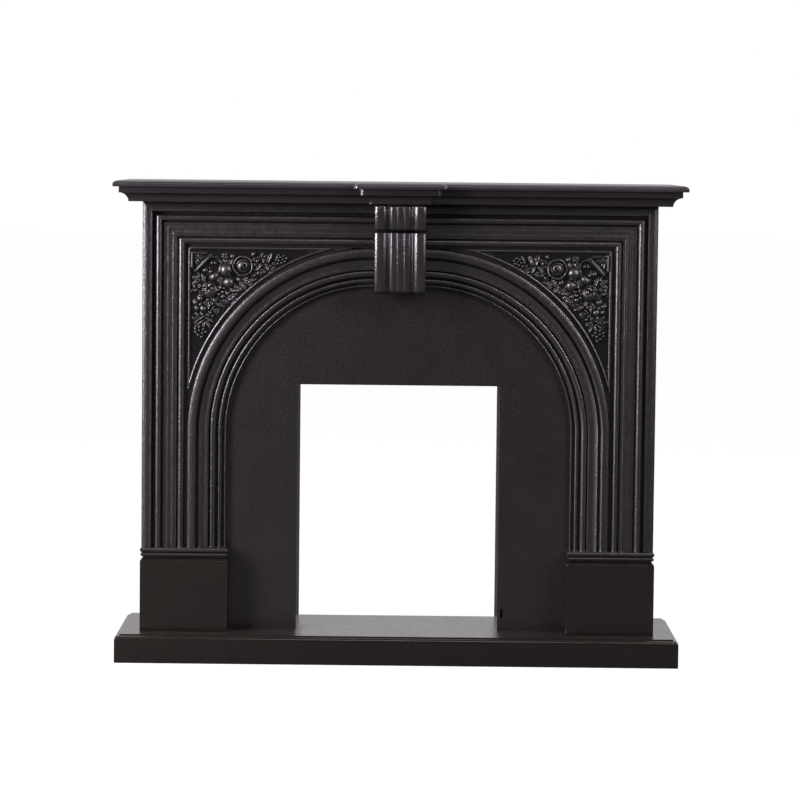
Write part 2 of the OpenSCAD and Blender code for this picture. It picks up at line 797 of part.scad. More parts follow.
// The reeded front turned about an axis along X, cut to the side outline of the console
module console(z0, z1, out, r, crest, curl) {
    crest_z = z1 - crest;
    front = frame_y - out;
    axis_y = front + r;
    curl_y = axis_y - sqrt(pow(r, 2) - pow(crest_z - z0 - curl, 2)) + curl;
    color(black) intersection() {
        translate([0, axis_y, crest_z]) rotate([0, 90, 0]) rotate_extrude($fn = 128)
            polygon(concat(
                [[0, -corbel_x]],
                [for (p = face_points(corbel_bands)) [r - rib_groove_d + p[1], p[0] - corbel_x]],
                [[0, corbel_x]]
            ));
        along_x(-corbel_x, corbel_x) intersection() {
            union() {
                translate([curl_y, z0 + curl]) circle(curl);
                translate([curl_y, z0]) square([core_y - curl_y, z1 - z0]);
                translate([front, z0 + curl]) square([core_y - front, z1 - z0 - curl]);
            }
            translate([front, z0]) square([core_y - front, z1 - z0]);
        }
    }
}

module upper_console() {
    console(upper_z, frame_top, upper_out, upper_r, upper_crest, upper_curl);
}

module lower_console() {
    console(lower_z, lower_top, lower_out, lower_r, lower_crest, lower_curl);
}

// Plinths
module plinth_block() {
    color(black)
        edged_board(-frame_x - plinth_out, -plinth_x, frame_y - plinth_out, panel_y, hearth_h, plinth_edge);
}

module left_plinth_block() {
    plinth_block();
}

module right_plinth_block() {
    mirror([1, 0, 0]) plinth_block();
}

module plinth_cap() {
    color(black)
        edged_board(-frame_x - plinth_out, -plinth_x, frame_y - plinth_out, panel_y, plinth_top, cap_edge);
}

module left_plinth_cap() {
    plinth_cap();
}

module right_plinth_cap() {
    mirror([1, 0, 0]) plinth_cap();
}

// Shelf
module shelf_top() {
    color(black) union() {
        edged_board(-nose_x, nose_x, nose_y, wall_y, shelf_z, shelf_edge);
        edged_board(-break_w / 2, break_w / 2, nose_y - break_out, wall_y, shelf_z, shelf_edge);
    }
}

module shelf_soffit_board() {
    color(black)
        block(-nose_x + bed_in, nose_x - bed_in, nose_y + bed_in, wall_y, frame_top, shelf_z);
}

// The cove moulding round three sides, before it is cut into lengths
module bed_ring() {
    difference() {
        edged_board(-nose_x, nose_x, nose_y, wall_y, frame_top, bed_edge);
        block(-nose_x + bed_in, nose_x - bed_in, nose_y + bed_in, wall_y + past,
            frame_top - past, shelf_z + past);
    }
}

module front_bed_moulding() {
    color(black) intersection() {
        bed_ring();
        translate([0, 0, frame_top - past]) linear_extrude(bed_h + 2 * past)
            polygon([
                [-nose_x, nose_y], [nose_x, nose_y],
                [nose_x - bed_in, nose_y + bed_in], [-nose_x + bed_in, nose_y + bed_in]
            ]);
    }
}

module side_bed_moulding() {
    color(black) intersection() {
        bed_ring();
        translate([0, 0, frame_top - past]) linear_extrude(bed_h + 2 * past)
            polygon([
                [-nose_x, nose_y], [-nose_x + bed_in, nose_y + bed_in],
                [-nose_x + bed_in, wall_y], [-nose_x, wall_y]
            ]);
    }
}

module left_bed_moulding() {
    side_bed_moulding();
}

module right_bed_moulding() {
    mirror([1, 0, 0]) side_bed_moulding();
}

module break_front_bed_moulding() {
    color(black) difference() {
        edged_board(-break_w / 2, break_w / 2, nose_y - break_out, nose_y + bed_in, frame_top, bed_edge);
        edged_board(-nose_x, nose_x, nose_y, wall_y, frame_top, bed_edge);
    }
}

// Carcass, open at the back
module top_back_rail() {
    color(raw_board) block(-side_x, side_x, back_y, wall_y, rail_z, frame_top);
}

module foot_back_rails() {
    color(raw_board) both_sides()
        block(-side_x, -opening_x - reveal_t, back_y, wall_y, hearth_h, hearth_h + foot_rail_h);
}

module corner_battens() {
    color(pine) both_sides()
        block(-side_x, -side_x + batten_w, panel_back_y, panel_back_y + board_t, hearth_h, frame_top);
}

module lintel_batten() {
    color(pine)
        block(-opening_x, opening_x, panel_back_y, panel_back_y + board_t,
            opening_top + reveal_t, opening_top + reveal_t + batten_w);
}

module jamb_battens() {
    lined_x = opening_x + reveal_t;
    color(pine) both_sides()
        block(-lined_x - board_t, -lined_x, panel_back_y, panel_back_y + batten_w,
            hearth_h + foot_rail_h, opening_top);
}

module shelf_cleats() {
    color(pine) both_sides()
        block(-side_x, -side_x + board_t, panel_back_y + board_t, back_y, frame_top - cleat_h, frame_top);
}

module base_cleats() {
    color(pine) both_sides()
        block(-side_x, -side_x + board_t, panel_back_y + board_t, back_y, hearth_h, hearth_h + cleat_h);
}

// Angle brackets at the open back, with one hole each for a wall screw
module at_brackets() {
    for (z = [wall_fix_z, rail_z - bracket_drop - bracket_h / 2]) translate([-side_x, wall_y, z]) children();
}

module wall_brackets() {
    color(zinc) both_sides() at_brackets() difference() {
        union() {
            block(0, bracket_t, -bracket_leg, 0, -bracket_h / 2, bracket_h / 2);
            block(0, bracket_leg, -bracket_t, 0, -bracket_h / 2, bracket_h / 2);
        }
        translate([bracket_leg / 2, past, 0]) rotate([90, 0, 0])
            cylinder(h = bracket_t + 2 * past, d = wall_hole_d);
        for (z = [-1, 1]) translate([-past, -bracket_leg / 2, z * screw_gap / 2])
            rotate([0, 90, 0]) cylinder(h = bracket_t + 2 * past, d = screw_d + 2 * fit);
    }
}

module bracket_screw_holes(r) {
    hole_x = bracket_t - screw_l - screw_spare;
    at_brackets() for (z = [-1, 1]) translate([hole_x, -bracket_leg / 2, z * screw_gap / 2])
        rotate([0, 90, 0]) cylinder(h = past - hole_x, r = r);
}

module bracket_screws() {
    head_r = screw_d * 0.95;
    head_h = screw_d * 0.6;
    dome_r = head_r * 1.6;
    cross_w = 0.8;
    cross_d = 0.9;
    color(zinc) both_sides() at_brackets() for (z = [-1, 1])
        translate([bracket_t, -bracket_leg / 2, z * screw_gap / 2]) rotate([0, 90, 0]) {
            translate([0, 0, -screw_l]) cylinder(h = screw_l + head_h / 2, d = screw_d);
            difference() {
                intersection() {
                    cylinder(h = head_h, r = head_r);
                    translate([0, 0, head_h - dome_r]) sphere(dome_r);
                }
                for (a = [0, 90]) rotate(a)
                    translate([-head_r, -cross_w / 2, head_h - cross_d])
                        cube([2 * head_r, cross_w, cross_d + past]);
            }
        }
}

module dowels() {
    color(pine) both_sides() dowel_holes(dowel_d / 2);
}

hearth_top();
hearth_front_rail();
hearth_left_rail();
hearth_right_rail();
hearth_back_rail();
hearth_battens();
infill_panel();
left_side_panel();
right_side_panel();
left_reveal();
right_reveal();
lintel_reveal();
left_jamb_backer();
right_jamb_backer();
header_backer();
left_jamb_moulding();
right_jamb_moulding();
left_header_moulding();
right_header_moulding();
left_arch_moulding();
right_arch_moulding();
left_spandrel_panel();
right_spandrel_panel();
left_spandrel_border();
right_spandrel_border();
left_carving();
right_carving();
corbel_core();
upper_console();
lower_console();
left_plinth_block();
right_plinth_block();
left_plinth_cap();
right_plinth_cap();
shelf_top();
shelf_soffit_board();
front_bed_moulding();
break_front_bed_moulding();
left_bed_moulding();
right_bed_moulding();
top_back_rail();
foot_back_rails();
corner_battens();
lintel_batten();
jamb_battens();
shelf_cleats();
base_cleats();
wall_brackets();
bracket_screws();
dowels();
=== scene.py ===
"""Mantel surround in satin black on a boxed hearth: its mouldings, keystone corbel and carved
spandrels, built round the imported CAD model. Sizes are in millimetres until a mesh is made.
X runs along the front, Y from the front to the wall and Z up from the floor."""
import bmesh
import bpy
import json
import numpy as np
from mathutils import Matrix, Vector


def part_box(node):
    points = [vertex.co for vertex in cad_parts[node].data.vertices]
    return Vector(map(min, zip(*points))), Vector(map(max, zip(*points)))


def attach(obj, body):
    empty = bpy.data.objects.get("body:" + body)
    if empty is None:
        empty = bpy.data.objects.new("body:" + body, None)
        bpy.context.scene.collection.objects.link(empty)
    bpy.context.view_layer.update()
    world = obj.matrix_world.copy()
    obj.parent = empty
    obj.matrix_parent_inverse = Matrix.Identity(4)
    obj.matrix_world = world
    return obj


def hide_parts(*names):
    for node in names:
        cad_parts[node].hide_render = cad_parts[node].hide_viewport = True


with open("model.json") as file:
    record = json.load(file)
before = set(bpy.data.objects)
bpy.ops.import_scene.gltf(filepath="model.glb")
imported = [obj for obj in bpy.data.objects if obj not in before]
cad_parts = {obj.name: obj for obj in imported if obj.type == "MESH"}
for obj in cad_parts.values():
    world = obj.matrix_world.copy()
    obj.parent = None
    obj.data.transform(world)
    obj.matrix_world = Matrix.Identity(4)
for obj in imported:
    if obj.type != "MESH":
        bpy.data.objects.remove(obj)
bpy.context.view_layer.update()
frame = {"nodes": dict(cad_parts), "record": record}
MM = 0.001


def span(node):
    """Lowest and highest corner of a CAD node, in mm."""
    low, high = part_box(node)
    return np.array(low) / MM, np.array(high) / MM


# Places that the moulded pieces share with the solids. The front is symmetrical about X = 0.
jamb_low, jamb_high = span("left_jamb_moulding")
backer_low, backer_high = span("left_jamb_backer")
core_low, core_high = span("corbel_core")
FRAME_X, CAP_TOP, FRAME_TOP = -jamb_low[0], jamb_low[2], jamb_high[2]
BACKER_Y = backer_low[1]
FRAME_T = BACKER_Y - jamb_low[1]            # thickness of the frame moulding
PANEL_Y = span("infill_panel")[0][1]
FIELD_Y = span("left_spandrel_panel")[0][1]     # ground of the carvings
CORBEL_X, CORE_Y = core_high[0], core_low[1]
CORBEL_FIT = 0.2                            # gap between the mouldings and the corbel's sides
ARCH_X = -backer_high[0]
SPRING_X = 55                               # the haunch centres lie this far from the middle
ARCH_R = ARCH_X - SPRING_X
SPRING_Z = FRAME_TOP - (FRAME_X - ARCH_X) - ARCH_R
BREAK_X, BREAK_OUT = 97, 30                 # half width of the break-front, and how far it is out
COVE_BACK = 12                              # the cove starts this far behind the shelf's nose


# Meshes

WELD = 1e-6                 # points closer than this, in metres, are one
ARC_POINTS = 17             # points of an arc in a moulding's face


def ring_faces(rows, columns, first=0, around=True, along=False):
    """Quads of a grid of points, row after row. It may close around each row and along the rows."""
    i = np.arange(rows if along else rows - 1)[:, None]
    j = np.arange(columns if around else columns - 1)[None, :]
    here, right = i * columns + j, i * columns + (j + 1) % columns
    far, far_right = (i + 1) % rows * columns + j, (i + 1) % rows * columns + (j + 1) % columns
    return (first + np.stack([here, right, far_right, far], -1).reshape(-1, 4)).tolist()


def solid(name, points, faces, material, nodes, bevel=0.0, sharp=35):
    """A closed piece from points in mm, which stands for CAD nodes. Its faces are turned outwards.
    Edges of more than sharp degrees are rounded over by bevel mm, or stay crisp if that is 0."""
    mesh = bpy.data.meshes.new(name)
    mesh.from_pydata((np.asarray(points) * MM).tolist(), [], faces)
    work = bmesh.new()
    work.from_mesh(mesh)
    bmesh.ops.remove_doubles(work, verts=work.verts, dist=WELD)
    bmesh.ops.recalc_face_normals(work, faces=work.faces)
    work.to_mesh(mesh)
    work.free()
    mesh.shade_smooth()
    if not bevel:
        mesh.set_sharp_from_angle(angle=np.radians(sharp))
    mesh.materials.append(material)
    piece = bpy.data.objects.new(name, mesh)
    bpy.context.scene.collection.objects.link(piece)
    if bevel:
        softened = piece.modifiers.new("softened edges", "BEVEL")
        softened.width = bevel * MM
        softened.segments = 3
        softened.angle_limit = np.radians(sharp)
        softened.harden_normals = True
    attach(piece, "root")
    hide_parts(*nodes)


def rounded_line(points, step, blur):
    """The line through the points, resampled at even steps and averaged with its neighbours under
    the bell curve exp(-d^2 / (2 blur^2)), as a coat of paint rounds every arris. It is carried on
    past its two ends as their point reflection, so they stay where they are."""
    points = np.asarray(points, float)
    lengths = np.r_[0, np.cumsum(np.hypot(*np.diff(points, axis=0).T))]
    lengths, kept = np.unique(lengths, return_index=True)
    points = points[kept]
    at = np.linspace(0, lengths[-1], int(lengths[-1] / step) + 1)
    even = np.stack([np.interp(at, lengths, points[:, k]) for k in (0, 1)], 1)
    reach = int(np.ceil(3 * blur / step))
    bell = np.exp(-0.5 * (np.arange(-reach, reach + 1) * step / blur) ** 2)
    bell /= bell.sum()
    before, after = 2 * even[0] - even[reach:0:-1], 2 * even[-1] - even[-2:-reach - 2:-1]
    padded = np.concatenate([before, even, after])
    return np.stack([np.convolve(padded[:, k], bell, "valid") for k in (0, 1)], 1)


def band_line(bands):
    """A moulding's face as (distance from its outer edge, height). Each band is a sloping line
    (width, height at the outer side, height at the inner side, crown) with an arc of a circle on
    it: its radius is (w^2 / 4 + c^2) / 2c, so that the arc rises by c in the middle and by 0 at
    both sides. A crown below 0 makes a hollow."""
    line, start = [], 0.0
    for width, outer, inner, crown in bands:
        share = np.linspace(0, 1, ARC_POINTS if crown else 2)
        lift = np.zeros_like(share)
        if crown:
            radius = (width ** 2 / 4 + crown ** 2) / (2 * abs(crown))
            half = min(width / 2, radius)
            above = np.sqrt(np.maximum(radius ** 2 - (half * (2 * share - 1)) ** 2, 0))
            lift = np.sign(crown) * (above - above[0])
        line.append(np.stack([start + width * share, outer + (inner - outer) * share + lift], 1))
        start += width
    return np.concatenate(line)


def moulding_line(bands, step=0.45, blur=0.42):
    """A moulding's face from the back of its outer side, over the bands, to that of its inner side,
    as (distance from its outer edge, height)."""
    line = band_line(bands)
    line = np.concatenate([[[0, 0]], line, [[line[-1, 0], 0]]])
    return rounded_line(line, step, blur)


def loft(name, rows, material, nodes):
    """A closed piece through rows of points. Each row closes on itself, and the ends are capped."""
    rows = np.asarray(rows, float)
    count, columns = rows.shape[:2]
    faces = ring_faces(count, columns)
    faces.append(list(range(columns)))
    faces.append(list(range((count - 1) * columns, count * columns))[::-1])
    solid(name, rows.reshape(-1, 3), faces, material, nodes, sharp=40)


def mirrored(rows, side):
    """The rows as they are for the left side, or their mirror image for the right side."""
    return rows if side == "left" else rows * [-1, 1, 1]


def inset_directions(plan):
    """At each point of an open plan line, the way that a 1 mm inset moves it: the sum of the two
    neighbouring inward normals over 1 plus their dot product, which keeps both sides parallel."""
    along = np.diff(plan, axis=0)
    along /= np.linalg.norm(along, axis=1)[:, None]
    normal = np.stack([-along[:, 1], along[:, 0]], 1)
    before, after = np.r_[normal[:1], normal], np.r_[normal, normal[-1:]]
    return (before + after) / (1 + (before * after).sum(1))[:, None]


def eased(plan, radii, steps=7):
    """The plan line with some right-angled corners turned into quarter circles, whose radii are
    given by the corner's number, and the inset direction of every point. All points of an arc keep
    that of its corner, so that no inset makes the arc cross itself."""
    plan, radii = np.asarray(plan, float), dict(radii)
    ways = inset_directions(plan)
    points, directions = [], []
    for k, corner in enumerate(plan):
        radius = radii.get(k, 0)
        if radius:
            before, after = corner - plan[k - 1], plan[k + 1] - corner
            before, after = before / np.linalg.norm(before), after / np.linalg.norm(after)
            turn = np.linspace(0, np.pi / 2, steps)[:, None]
            centre = corner + radius * (after - before)
            points.append(centre + radius * (before * np.sin(turn) - after * np.cos(turn)))
        else:
            points.append(corner[None])
        directions.append(np.repeat(ways[k:k + 1], len(points[-1]), 0))
    return np.concatenate(points), np.concatenate(directions)


def board(name, plan, edge, z, material, nodes, bevel=0.7, radii=()):
    """A board whose edge (inset, height above z) runs along a plan line, mitred at its corners. The
    plan goes from the back along the left side, the front and the right side. The top, the
    underside and the back close it."""
    plan, ways = eased(plan, radii)
    edge = np.asarray(edge, float)
    offset = plan[:, None, :] + edge[None, :, :1] * ways[:, None, :]
    height = np.broadcast_to(z + edge[None, :, 1:], (*offset.shape[:2], 1))
    rows = np.concatenate([offset, height], -1)
    count, columns = rows.shape[:2]
    faces = ring_faces(count, columns, around=False)
    faces.append([i * columns for i in range(count)])
    faces.append([i * columns + columns - 1 for i in range(count)][::-1])
    last = (count - 1) * columns
    faces.append(list(range(columns)) + list(range(last + columns - 1, last - 1, -1)))
    solid(name, rows.reshape(-1, 3), faces, material, nodes, bevel, sharp=32)


def box_plan(low, high):
    """The plan line of a rectangular board, open at the back."""
    return [(low[0], high[1]), (low[0], low[1]), (high[0], low[1]), (high[0], high[1])]


def quarter(width, height, inset, z, steps=10):
    """A quarter of an ellipse, from the front of an edge at height z up to its top, width further
    in and height further up."""
    turn = np.linspace(0, np.pi / 2, steps)
    return np.stack([inset + width * (1 - np.cos(turn)), z + height * np.sin(turn)], 1)


# Materials

# Specular levels start from the usual 0.5 and are matched to the photo's highlights
LACQUER_SPECULAR = 0.85
RESIN_SPECULAR = 1.0
BARE_SPECULAR = 0.3         # raw wood and board
DUST_COLOUR = "#6c6460"
DUST_SHARE = 0.1            # how much of its colour dust gives to a face that looks up
DUST_ROUGHNESS = 0.12       # and how much duller it makes that face
GROUND_SHADE_COLOUR = "#0c0a0a"     # painted shade on the carvings' ground between the forms
POOL_ROUGHNESS = 0.22


def linear(code):
    """An sRGB hex colour as linear RGBA."""
    value = np.array([int(code[i:i + 2], 16) for i in (1, 3, 5)]) / 255
    value = np.where(value <= 0.04045, value / 12.92, ((value + 0.055) / 1.055) ** 2.4)
    return (*value.tolist(), 1.0)


def grey(value):
    """A plain number as a colour, for ramps that carry roughness or light."""
    return (value, value, value, 1.0)


def per_mm(size):
    """The scale of a pattern whose features are size mm across."""
    return 1 / (size * MM)


def fill(tree, node, inputs):
    """Fills a node's inputs with sockets or plain values."""
    for key, value in dict(inputs).items():
        if isinstance(value, bpy.types.NodeSocket):
            tree.links.new(value, node.inputs[key])
        else:
            node.inputs[key].default_value = value


def add(tree, kind, inputs=(), output=0, stops=(), **settings):
    """Adds a shader node, sets it up, fills its inputs and returns one of its outputs. Stops are
    the (position, colour) pairs of a ramp."""
    made = tree.nodes.new("ShaderNode" + kind)
    for key, value in settings.items():
        setattr(made, key, value)
    fill(tree, made, inputs)
    while stops and len(made.color_ramp.elements) < len(stops):
        made.color_ramp.elements.new(0.5)
    for k, stop in enumerate(stops):
        made.color_ramp.elements[k].position, made.color_ramp.elements[k].color = stop
    return made.outputs[output]


def new_material(name):
    """A material with a Principled shader, and its Object coordinates."""
    material = bpy.data.materials.new(name)
    material.use_nodes = True
    tree = material.node_tree
    return material, tree, tree.nodes["Principled BSDF"], add(tree, "TexCoord", output="Object")


def satin_lacquer(name, dark, light, smooth, dull, tint="#ffffff"):
    """Satin black lacquer, sprayed on fibreboard: to the eye nearly flat and grey where it shines,
    with slow clouds in its tone and a film of dust where it faces up. Real orange peel has waves
    of about 1 mm, and the board's fibres print through at 1 to 3 mm. Neither would show from 6 m,
    so they are drawn at 2.2 and 5.5 mm, and the changes of gloss that go with them at 6.5 mm."""
    material, tree, shader, place = new_material(name)
    cloud = add(tree, "TexNoise", {"Vector": place, "Scale": per_mm(60), "Detail": 3.0})
    colour = add(tree, "ValToRGB", {"Fac": cloud},
                 stops=[(0.3, linear(dark)), (0.7, linear(light))])
    normal = add(tree, "NewGeometry", output="Normal")
    upwards = add(tree, "SeparateXYZ", {"Vector": normal}, "Z")
    lying = add(tree, "MapRange", {"Value": upwards, "From Min": 0.75, "From Max": 0.98})
    patches = add(tree, "TexNoise", {"Vector": place, "Scale": per_mm(35), "Detail": 5.0,
                                     "Roughness": 0.65})
    film = add(tree, "MapRange", {"Value": patches, "From Min": 0.25, "From Max": 0.75,
                                  "To Min": 0.45, "To Max": 1.0})
    film = add(tree, "Math", {0: film, 1: lying}, operation="MULTIPLY")
    share = add(tree, "Math", {0: film, 1: DUST_SHARE}, operation="MULTIPLY")
    colour = add(tree, "Mix", {"Factor": share, "A": colour, "B": linear(DUST_COLOUR)}, "Result",
                 data_type="RGBA")
    gloss = add(tree, "TexNoise", {"Vector": place, "Scale": per_mm(6.5), "Detail": 1.0})
    sheen = add(tree, "ValToRGB", {"Fac": gloss}, stops=[(0.15, grey(smooth)), (0.85, grey(dull))])
    sheen = add(tree, "Math", {0: film, 1: DUST_ROUGHNESS, 2: sheen}, operation="MULTIPLY_ADD")
    grain = add(tree, "TexNoise", {"Vector": place, "Scale": per_mm(5.5), "Roughness": 0.6})
    peel = add(tree, "TexNoise", {"Vector": place, "Scale": per_mm(2.2), "Detail": 3.0,
                                  "Roughness": 0.6})
    relief = add(tree, "Bump", {"Height": grain, "Distance": 0.18 * MM})
    relief = add(tree, "Bump", {"Height": peel, "Distance": 0.08 * MM, "Normal": relief})
    fill(tree, shader, {"Base Color": colour, "Roughness": sheen, "Normal": relief,
                        "Specular IOR Level": LACQUER_SPECULAR, "Specular Tint": linear(tint)})
    return material


def pebbled_resin(name, grain, depth, smooth, dull, ground_y=None):
    """Polyurethane resin, cast and painted satin black: the mould leaves a pebbled skin, grain mm
    across and depth mm deep, which breaks every highlight into dots. Real pebbles are 1 to 2 mm
    across. Those of the mouldings are drawn at 2.8 mm, as coarse as they need to show. Those of
    the carvings are finer. On their ground, which lies at ground_y, paint lies thicker and dried
    glossier, and the ground is painted darker there as painted shade between the forms."""
    material, tree, shader, place = new_material(name)
    cloud = add(tree, "TexNoise", {"Vector": place, "Scale": per_mm(45), "Detail": 3.0})
    colour = add(tree, "ValToRGB", {"Fac": cloud},
                 stops=[(0.3, linear("#141110")), (0.7, linear("#191512"))])
    gloss = add(tree, "TexNoise", {"Vector": place, "Scale": per_mm(9), "Detail": 3.0,
                                   "Roughness": 0.6})
    sheen = add(tree, "ValToRGB", {"Fac": gloss}, stops=[(0.3, grey(smooth)), (0.7, grey(dull))])
    # The ground is glossier where paint lies thicker, and painted darker as painted shade between
    # the forms
    if ground_y is not None:
        backwards = add(tree, "SeparateXYZ", {"Vector": place}, "Y")
        pooled_and_shaded = add(tree, "MapRange", {"Value": backwards, "From Min": (ground_y - 3.0) * MM,
                                        "From Max": (ground_y - 0.8) * MM})
        sheen = add(tree, "Mix", {"Factor": pooled_and_shaded, "A": sheen, "B": grey(POOL_ROUGHNESS)},
                    "Result", data_type="RGBA")
        colour = add(tree, "Mix", {"Factor": pooled_and_shaded, "A": colour, "B": linear(GROUND_SHADE_COLOUR)},
                     "Result", data_type="RGBA")
    pebbles = add(tree, "TexVoronoi", {"Vector": place, "Scale": per_mm(grain), "Smoothness": 0.6},
                  "Distance", feature="SMOOTH_F1")
    lumps = add(tree, "TexNoise", {"Vector": place, "Scale": per_mm(2.2 * grain)})
    relief = add(tree, "Bump", {"Height": pebbles, "Distance": -depth * MM})
    relief = add(tree, "Bump", {"Height": lumps, "Distance": depth * MM, "Normal": relief})
    fill(tree, shader, {"Base Color": colour, "Roughness": sheen, "Normal": relief,
                        "Specular IOR Level": RESIN_SPECULAR})
    return material


def raw_fibreboard():
    """Medium-density fibreboard, pressed and left raw: a dull tan felt with darker specks. Its
    fibres are thinner than 1 mm and are drawn 1.6 mm wide and 4 mm long, so that they show."""
    material, tree, shader, place = new_material("raw_fibreboard")
    mapped = add(tree, "Mapping", {"Vector": place,
                                   "Scale": (per_mm(2.5 * 1.6), per_mm(1.6), per_mm(1.6))})
    fibres = add(tree, "TexNoise", {"Vector": mapped, "Scale": 1.0, "Detail": 5.0,
                                    "Roughness": 0.7})
    colour = add(tree, "ValToRGB", {"Fac": fibres}, stops=[
        (0.25, linear("#8f6f4c")), (0.5, linear("#a98660")), (0.8, linear("#bd9b74"))])
    relief = add(tree, "Bump", {"Height": fibres, "Distance": 0.12 * MM})
    fill(tree, shader, {"Base Color": colour, "Roughness": 0.85, "Normal": relief,
                        "Specular IOR Level": BARE_SPECULAR})
    return material


def planed_pine(long_axis):
    """Pine, sawn and planed: pale wood with rings of about 2 mm that run as bands along the batten,
    and fine pores between them. The pores are drawn 1.1 mm wide, wider than real ones, to show."""
    material, tree, shader, place = new_material("planed_pine_" + "xyz"[long_axis])
    waves = []
    for size, stretch, detail in ((9, 26, 4.0), (1.1, 14, 3.0)):
        scale = [per_mm(size)] * 3
        scale[long_axis] = per_mm(size * stretch)
        mapped = add(tree, "Mapping", {"Vector": place, "Scale": scale})
        waves.append(add(tree, "TexNoise", {"Vector": mapped, "Scale": 1.0, "Detail": detail,
                                            "Roughness": 0.6}))
    slow, pores = waves
    rings = add(tree, "Math", {0: slow, 1: 5.0}, operation="MULTIPLY")
    rings = add(tree, "Math", {0: rings, 1: 1.0}, operation="PINGPONG")
    tone = add(tree, "Math", {0: rings, 1: 0.75, 2: pores}, operation="MULTIPLY_ADD")
    colour = add(tree, "ValToRGB", {"Fac": tone}, stops=[
        (0.3, linear("#d9b98c")), (0.8, linear("#cfa874")), (1.0, linear("#a97c4b"))])
    relief = add(tree, "Bump", {"Height": pores, "Distance": 0.08 * MM})
    fill(tree, shader, {"Base Color": colour, "Roughness": 0.6, "Normal": relief,
                        "Specular IOR Level": BARE_SPECULAR})
    return material


def zinc_plated_steel():
    """Pressed steel, zinc-plated: a bright grey metal whose crystals, a few millimetres across,
    each shine a little differently."""
    material, tree, shader, place = new_material("zinc_plated_steel")
    crystals = add(tree, "TexVoronoi", {"Vector": place, "Scale": per_mm(4)}, "Color")
    tone = add(tree, "SeparateColor", {"Color": crystals}, "Red")
    colour = add(tree, "ValToRGB", {"Fac": tone},
                 stops=[(0.0, linear("#a7abaf")), (1.0, linear("#c3c6ca"))])
    sheen = add(tree, "ValToRGB", {"Fac": tone}, stops=[(0.0, grey(0.28)), (1.0, grey(0.42))])
    fill(tree, shader, {"Base Color": colour, "Roughness": sheen, "Metallic": 1.0})
    return material


LACQUER = satin_lacquer("satin_lacquer_on_board", "#161210", "#1b1613", 0.26, 0.38)
# Painted shade: the plinths and the hearth get a darker copy of the lacquer, for the light that
# falls off towards the floor
SHADED_BASE_LACQUER = satin_lacquer("satin_lacquer_on_base_with_painted_shade", "#110d0b", "#15100d", 0.18, 0.28, "#fff5ea")
# Painted light: the shelf gets a lighter, violet copy of the lacquer, for its brighter lit face
LIT_SHELF_LACQUER = satin_lacquer("satin_lacquer_on_shelf_with_painted_light", "#1f1b1e", "#252124", 0.26, 0.38)
RESIN = pebbled_resin("pebbled_cast_resin", 2.8, 0.34, 0.28, 0.38)
CARVED = pebbled_resin("fine_cast_resin", 1.6, 0.08, 0.35, 0.43, FIELD_Y)
BOARD = raw_fibreboard()
PINE = [planed_pine(axis) for axis in range(3)]
ZINC = zinc_plated_steel()


# Mouldings of the frame and the arch

# The frame's heights are listed as drops from its face, and the arch's as heights above the panel
frame_bands = [(width, FRAME_T - outer, FRAME_T - inner, crown) for width, outer, inner, crown in (
    (5, 4.2, 1.6, 0.5), (6, 1.6, 0.8, 0.2), (9.3, 0.8, 0.5, -0.35), (1.5, 1, 8, 0),
    (5.5, 23, 23, 0), (13.7, 9.5, 9.5, 6.5), (2.5, 17, 17, 0), (1.5, 12, 11.2, 0.2),
    (6.5, 11.2, 11.2, 0), (6, 11.4, 11.4, 0.5), (5, 11.5, 11.5, 0), (5.5, 11.5, 11.6, 0.55),
    (5, 11.8, 12, 0), (1.8, 23, 23, 0), (13.6, 16, 16, 6.8), (5.6, 23.5, 23.5, 0))]
arch_bands = [
    (4, 29.5, 36, 1.2), (10, 36, 37.4, 0.4), (6, 37.4, 34, 1.0), (4, 22, 22, 0),
    (1.5, 28, 30.6, 0), (13.5, 30.8, 26.6, -1.0), (7.2, 26.6, 26.2, 0.6), (15.3, 16.3, 16.3, 7.2),
    (3, 7, 7, 0), (9.5, 11.5, 11.5, 4.7), (4.8, 3, 3, 0), (3.7, 8.8, 8.8, 1.8)]
frame_line = moulding_line(frame_bands)
arch_line = moulding_line(arch_bands)


def frame_beads(side):
    """The frame moulding of one side: an upright, cut at its top along the mitre
    z = frame top - distance, and the same moulding laid along the top up to the corbel."""
    across, height = frame_line.T
    x, y, z = across - FRAME_X, BACKER_Y - height, FRAME_TOP - across
    foot = np.stack([x, y, np.full_like(z, CAP_TOP)], 1)
    mitre = np.stack([x, y, z], 1)
    inner = np.stack([np.full_like(x, -CORBEL_X - CORBEL_FIT), y, z], 1)
    loft(side + "_jamb_beads", mirrored(np.stack([foot, mitre]), side), RESIN,
         [side + "_jamb_moulding"])
    loft(side + "_header_beads", mirrored(np.stack([mitre, inner]), side), RESIN,
         [side + "_header_moulding"])


def arch_beads(side):
    """The receding beads of one side: an upright leg, a quarter circle round the haunch centre at
    the radius ARCH_R - distance, and a short straight crown up to the corbel."""
    across, height = arch_line.T
    turn = np.linspace(0, np.pi / 2, 97)[:, None]
    reach = ARCH_R - across[None, :]
    x, z = -SPRING_X - reach * np.cos(turn), SPRING_Z + reach * np.sin(turn)
    bend = np.stack([x, np.broadcast_to(PANEL_Y - height, x.shape), z], -1)
    foot, crown = bend[0].copy(), bend[-1].copy()
    foot[:, 2] = CAP_TOP
    crown[:, 0] = -CORBEL_X - CORBEL_FIT
    rows = np.concatenate([foot[None], bend, crown[None]])
    loft(side + "_arch_beads", mirrored(rows, side), RESIN,
         [side + "_arch_moulding"])


# Keystone corbel

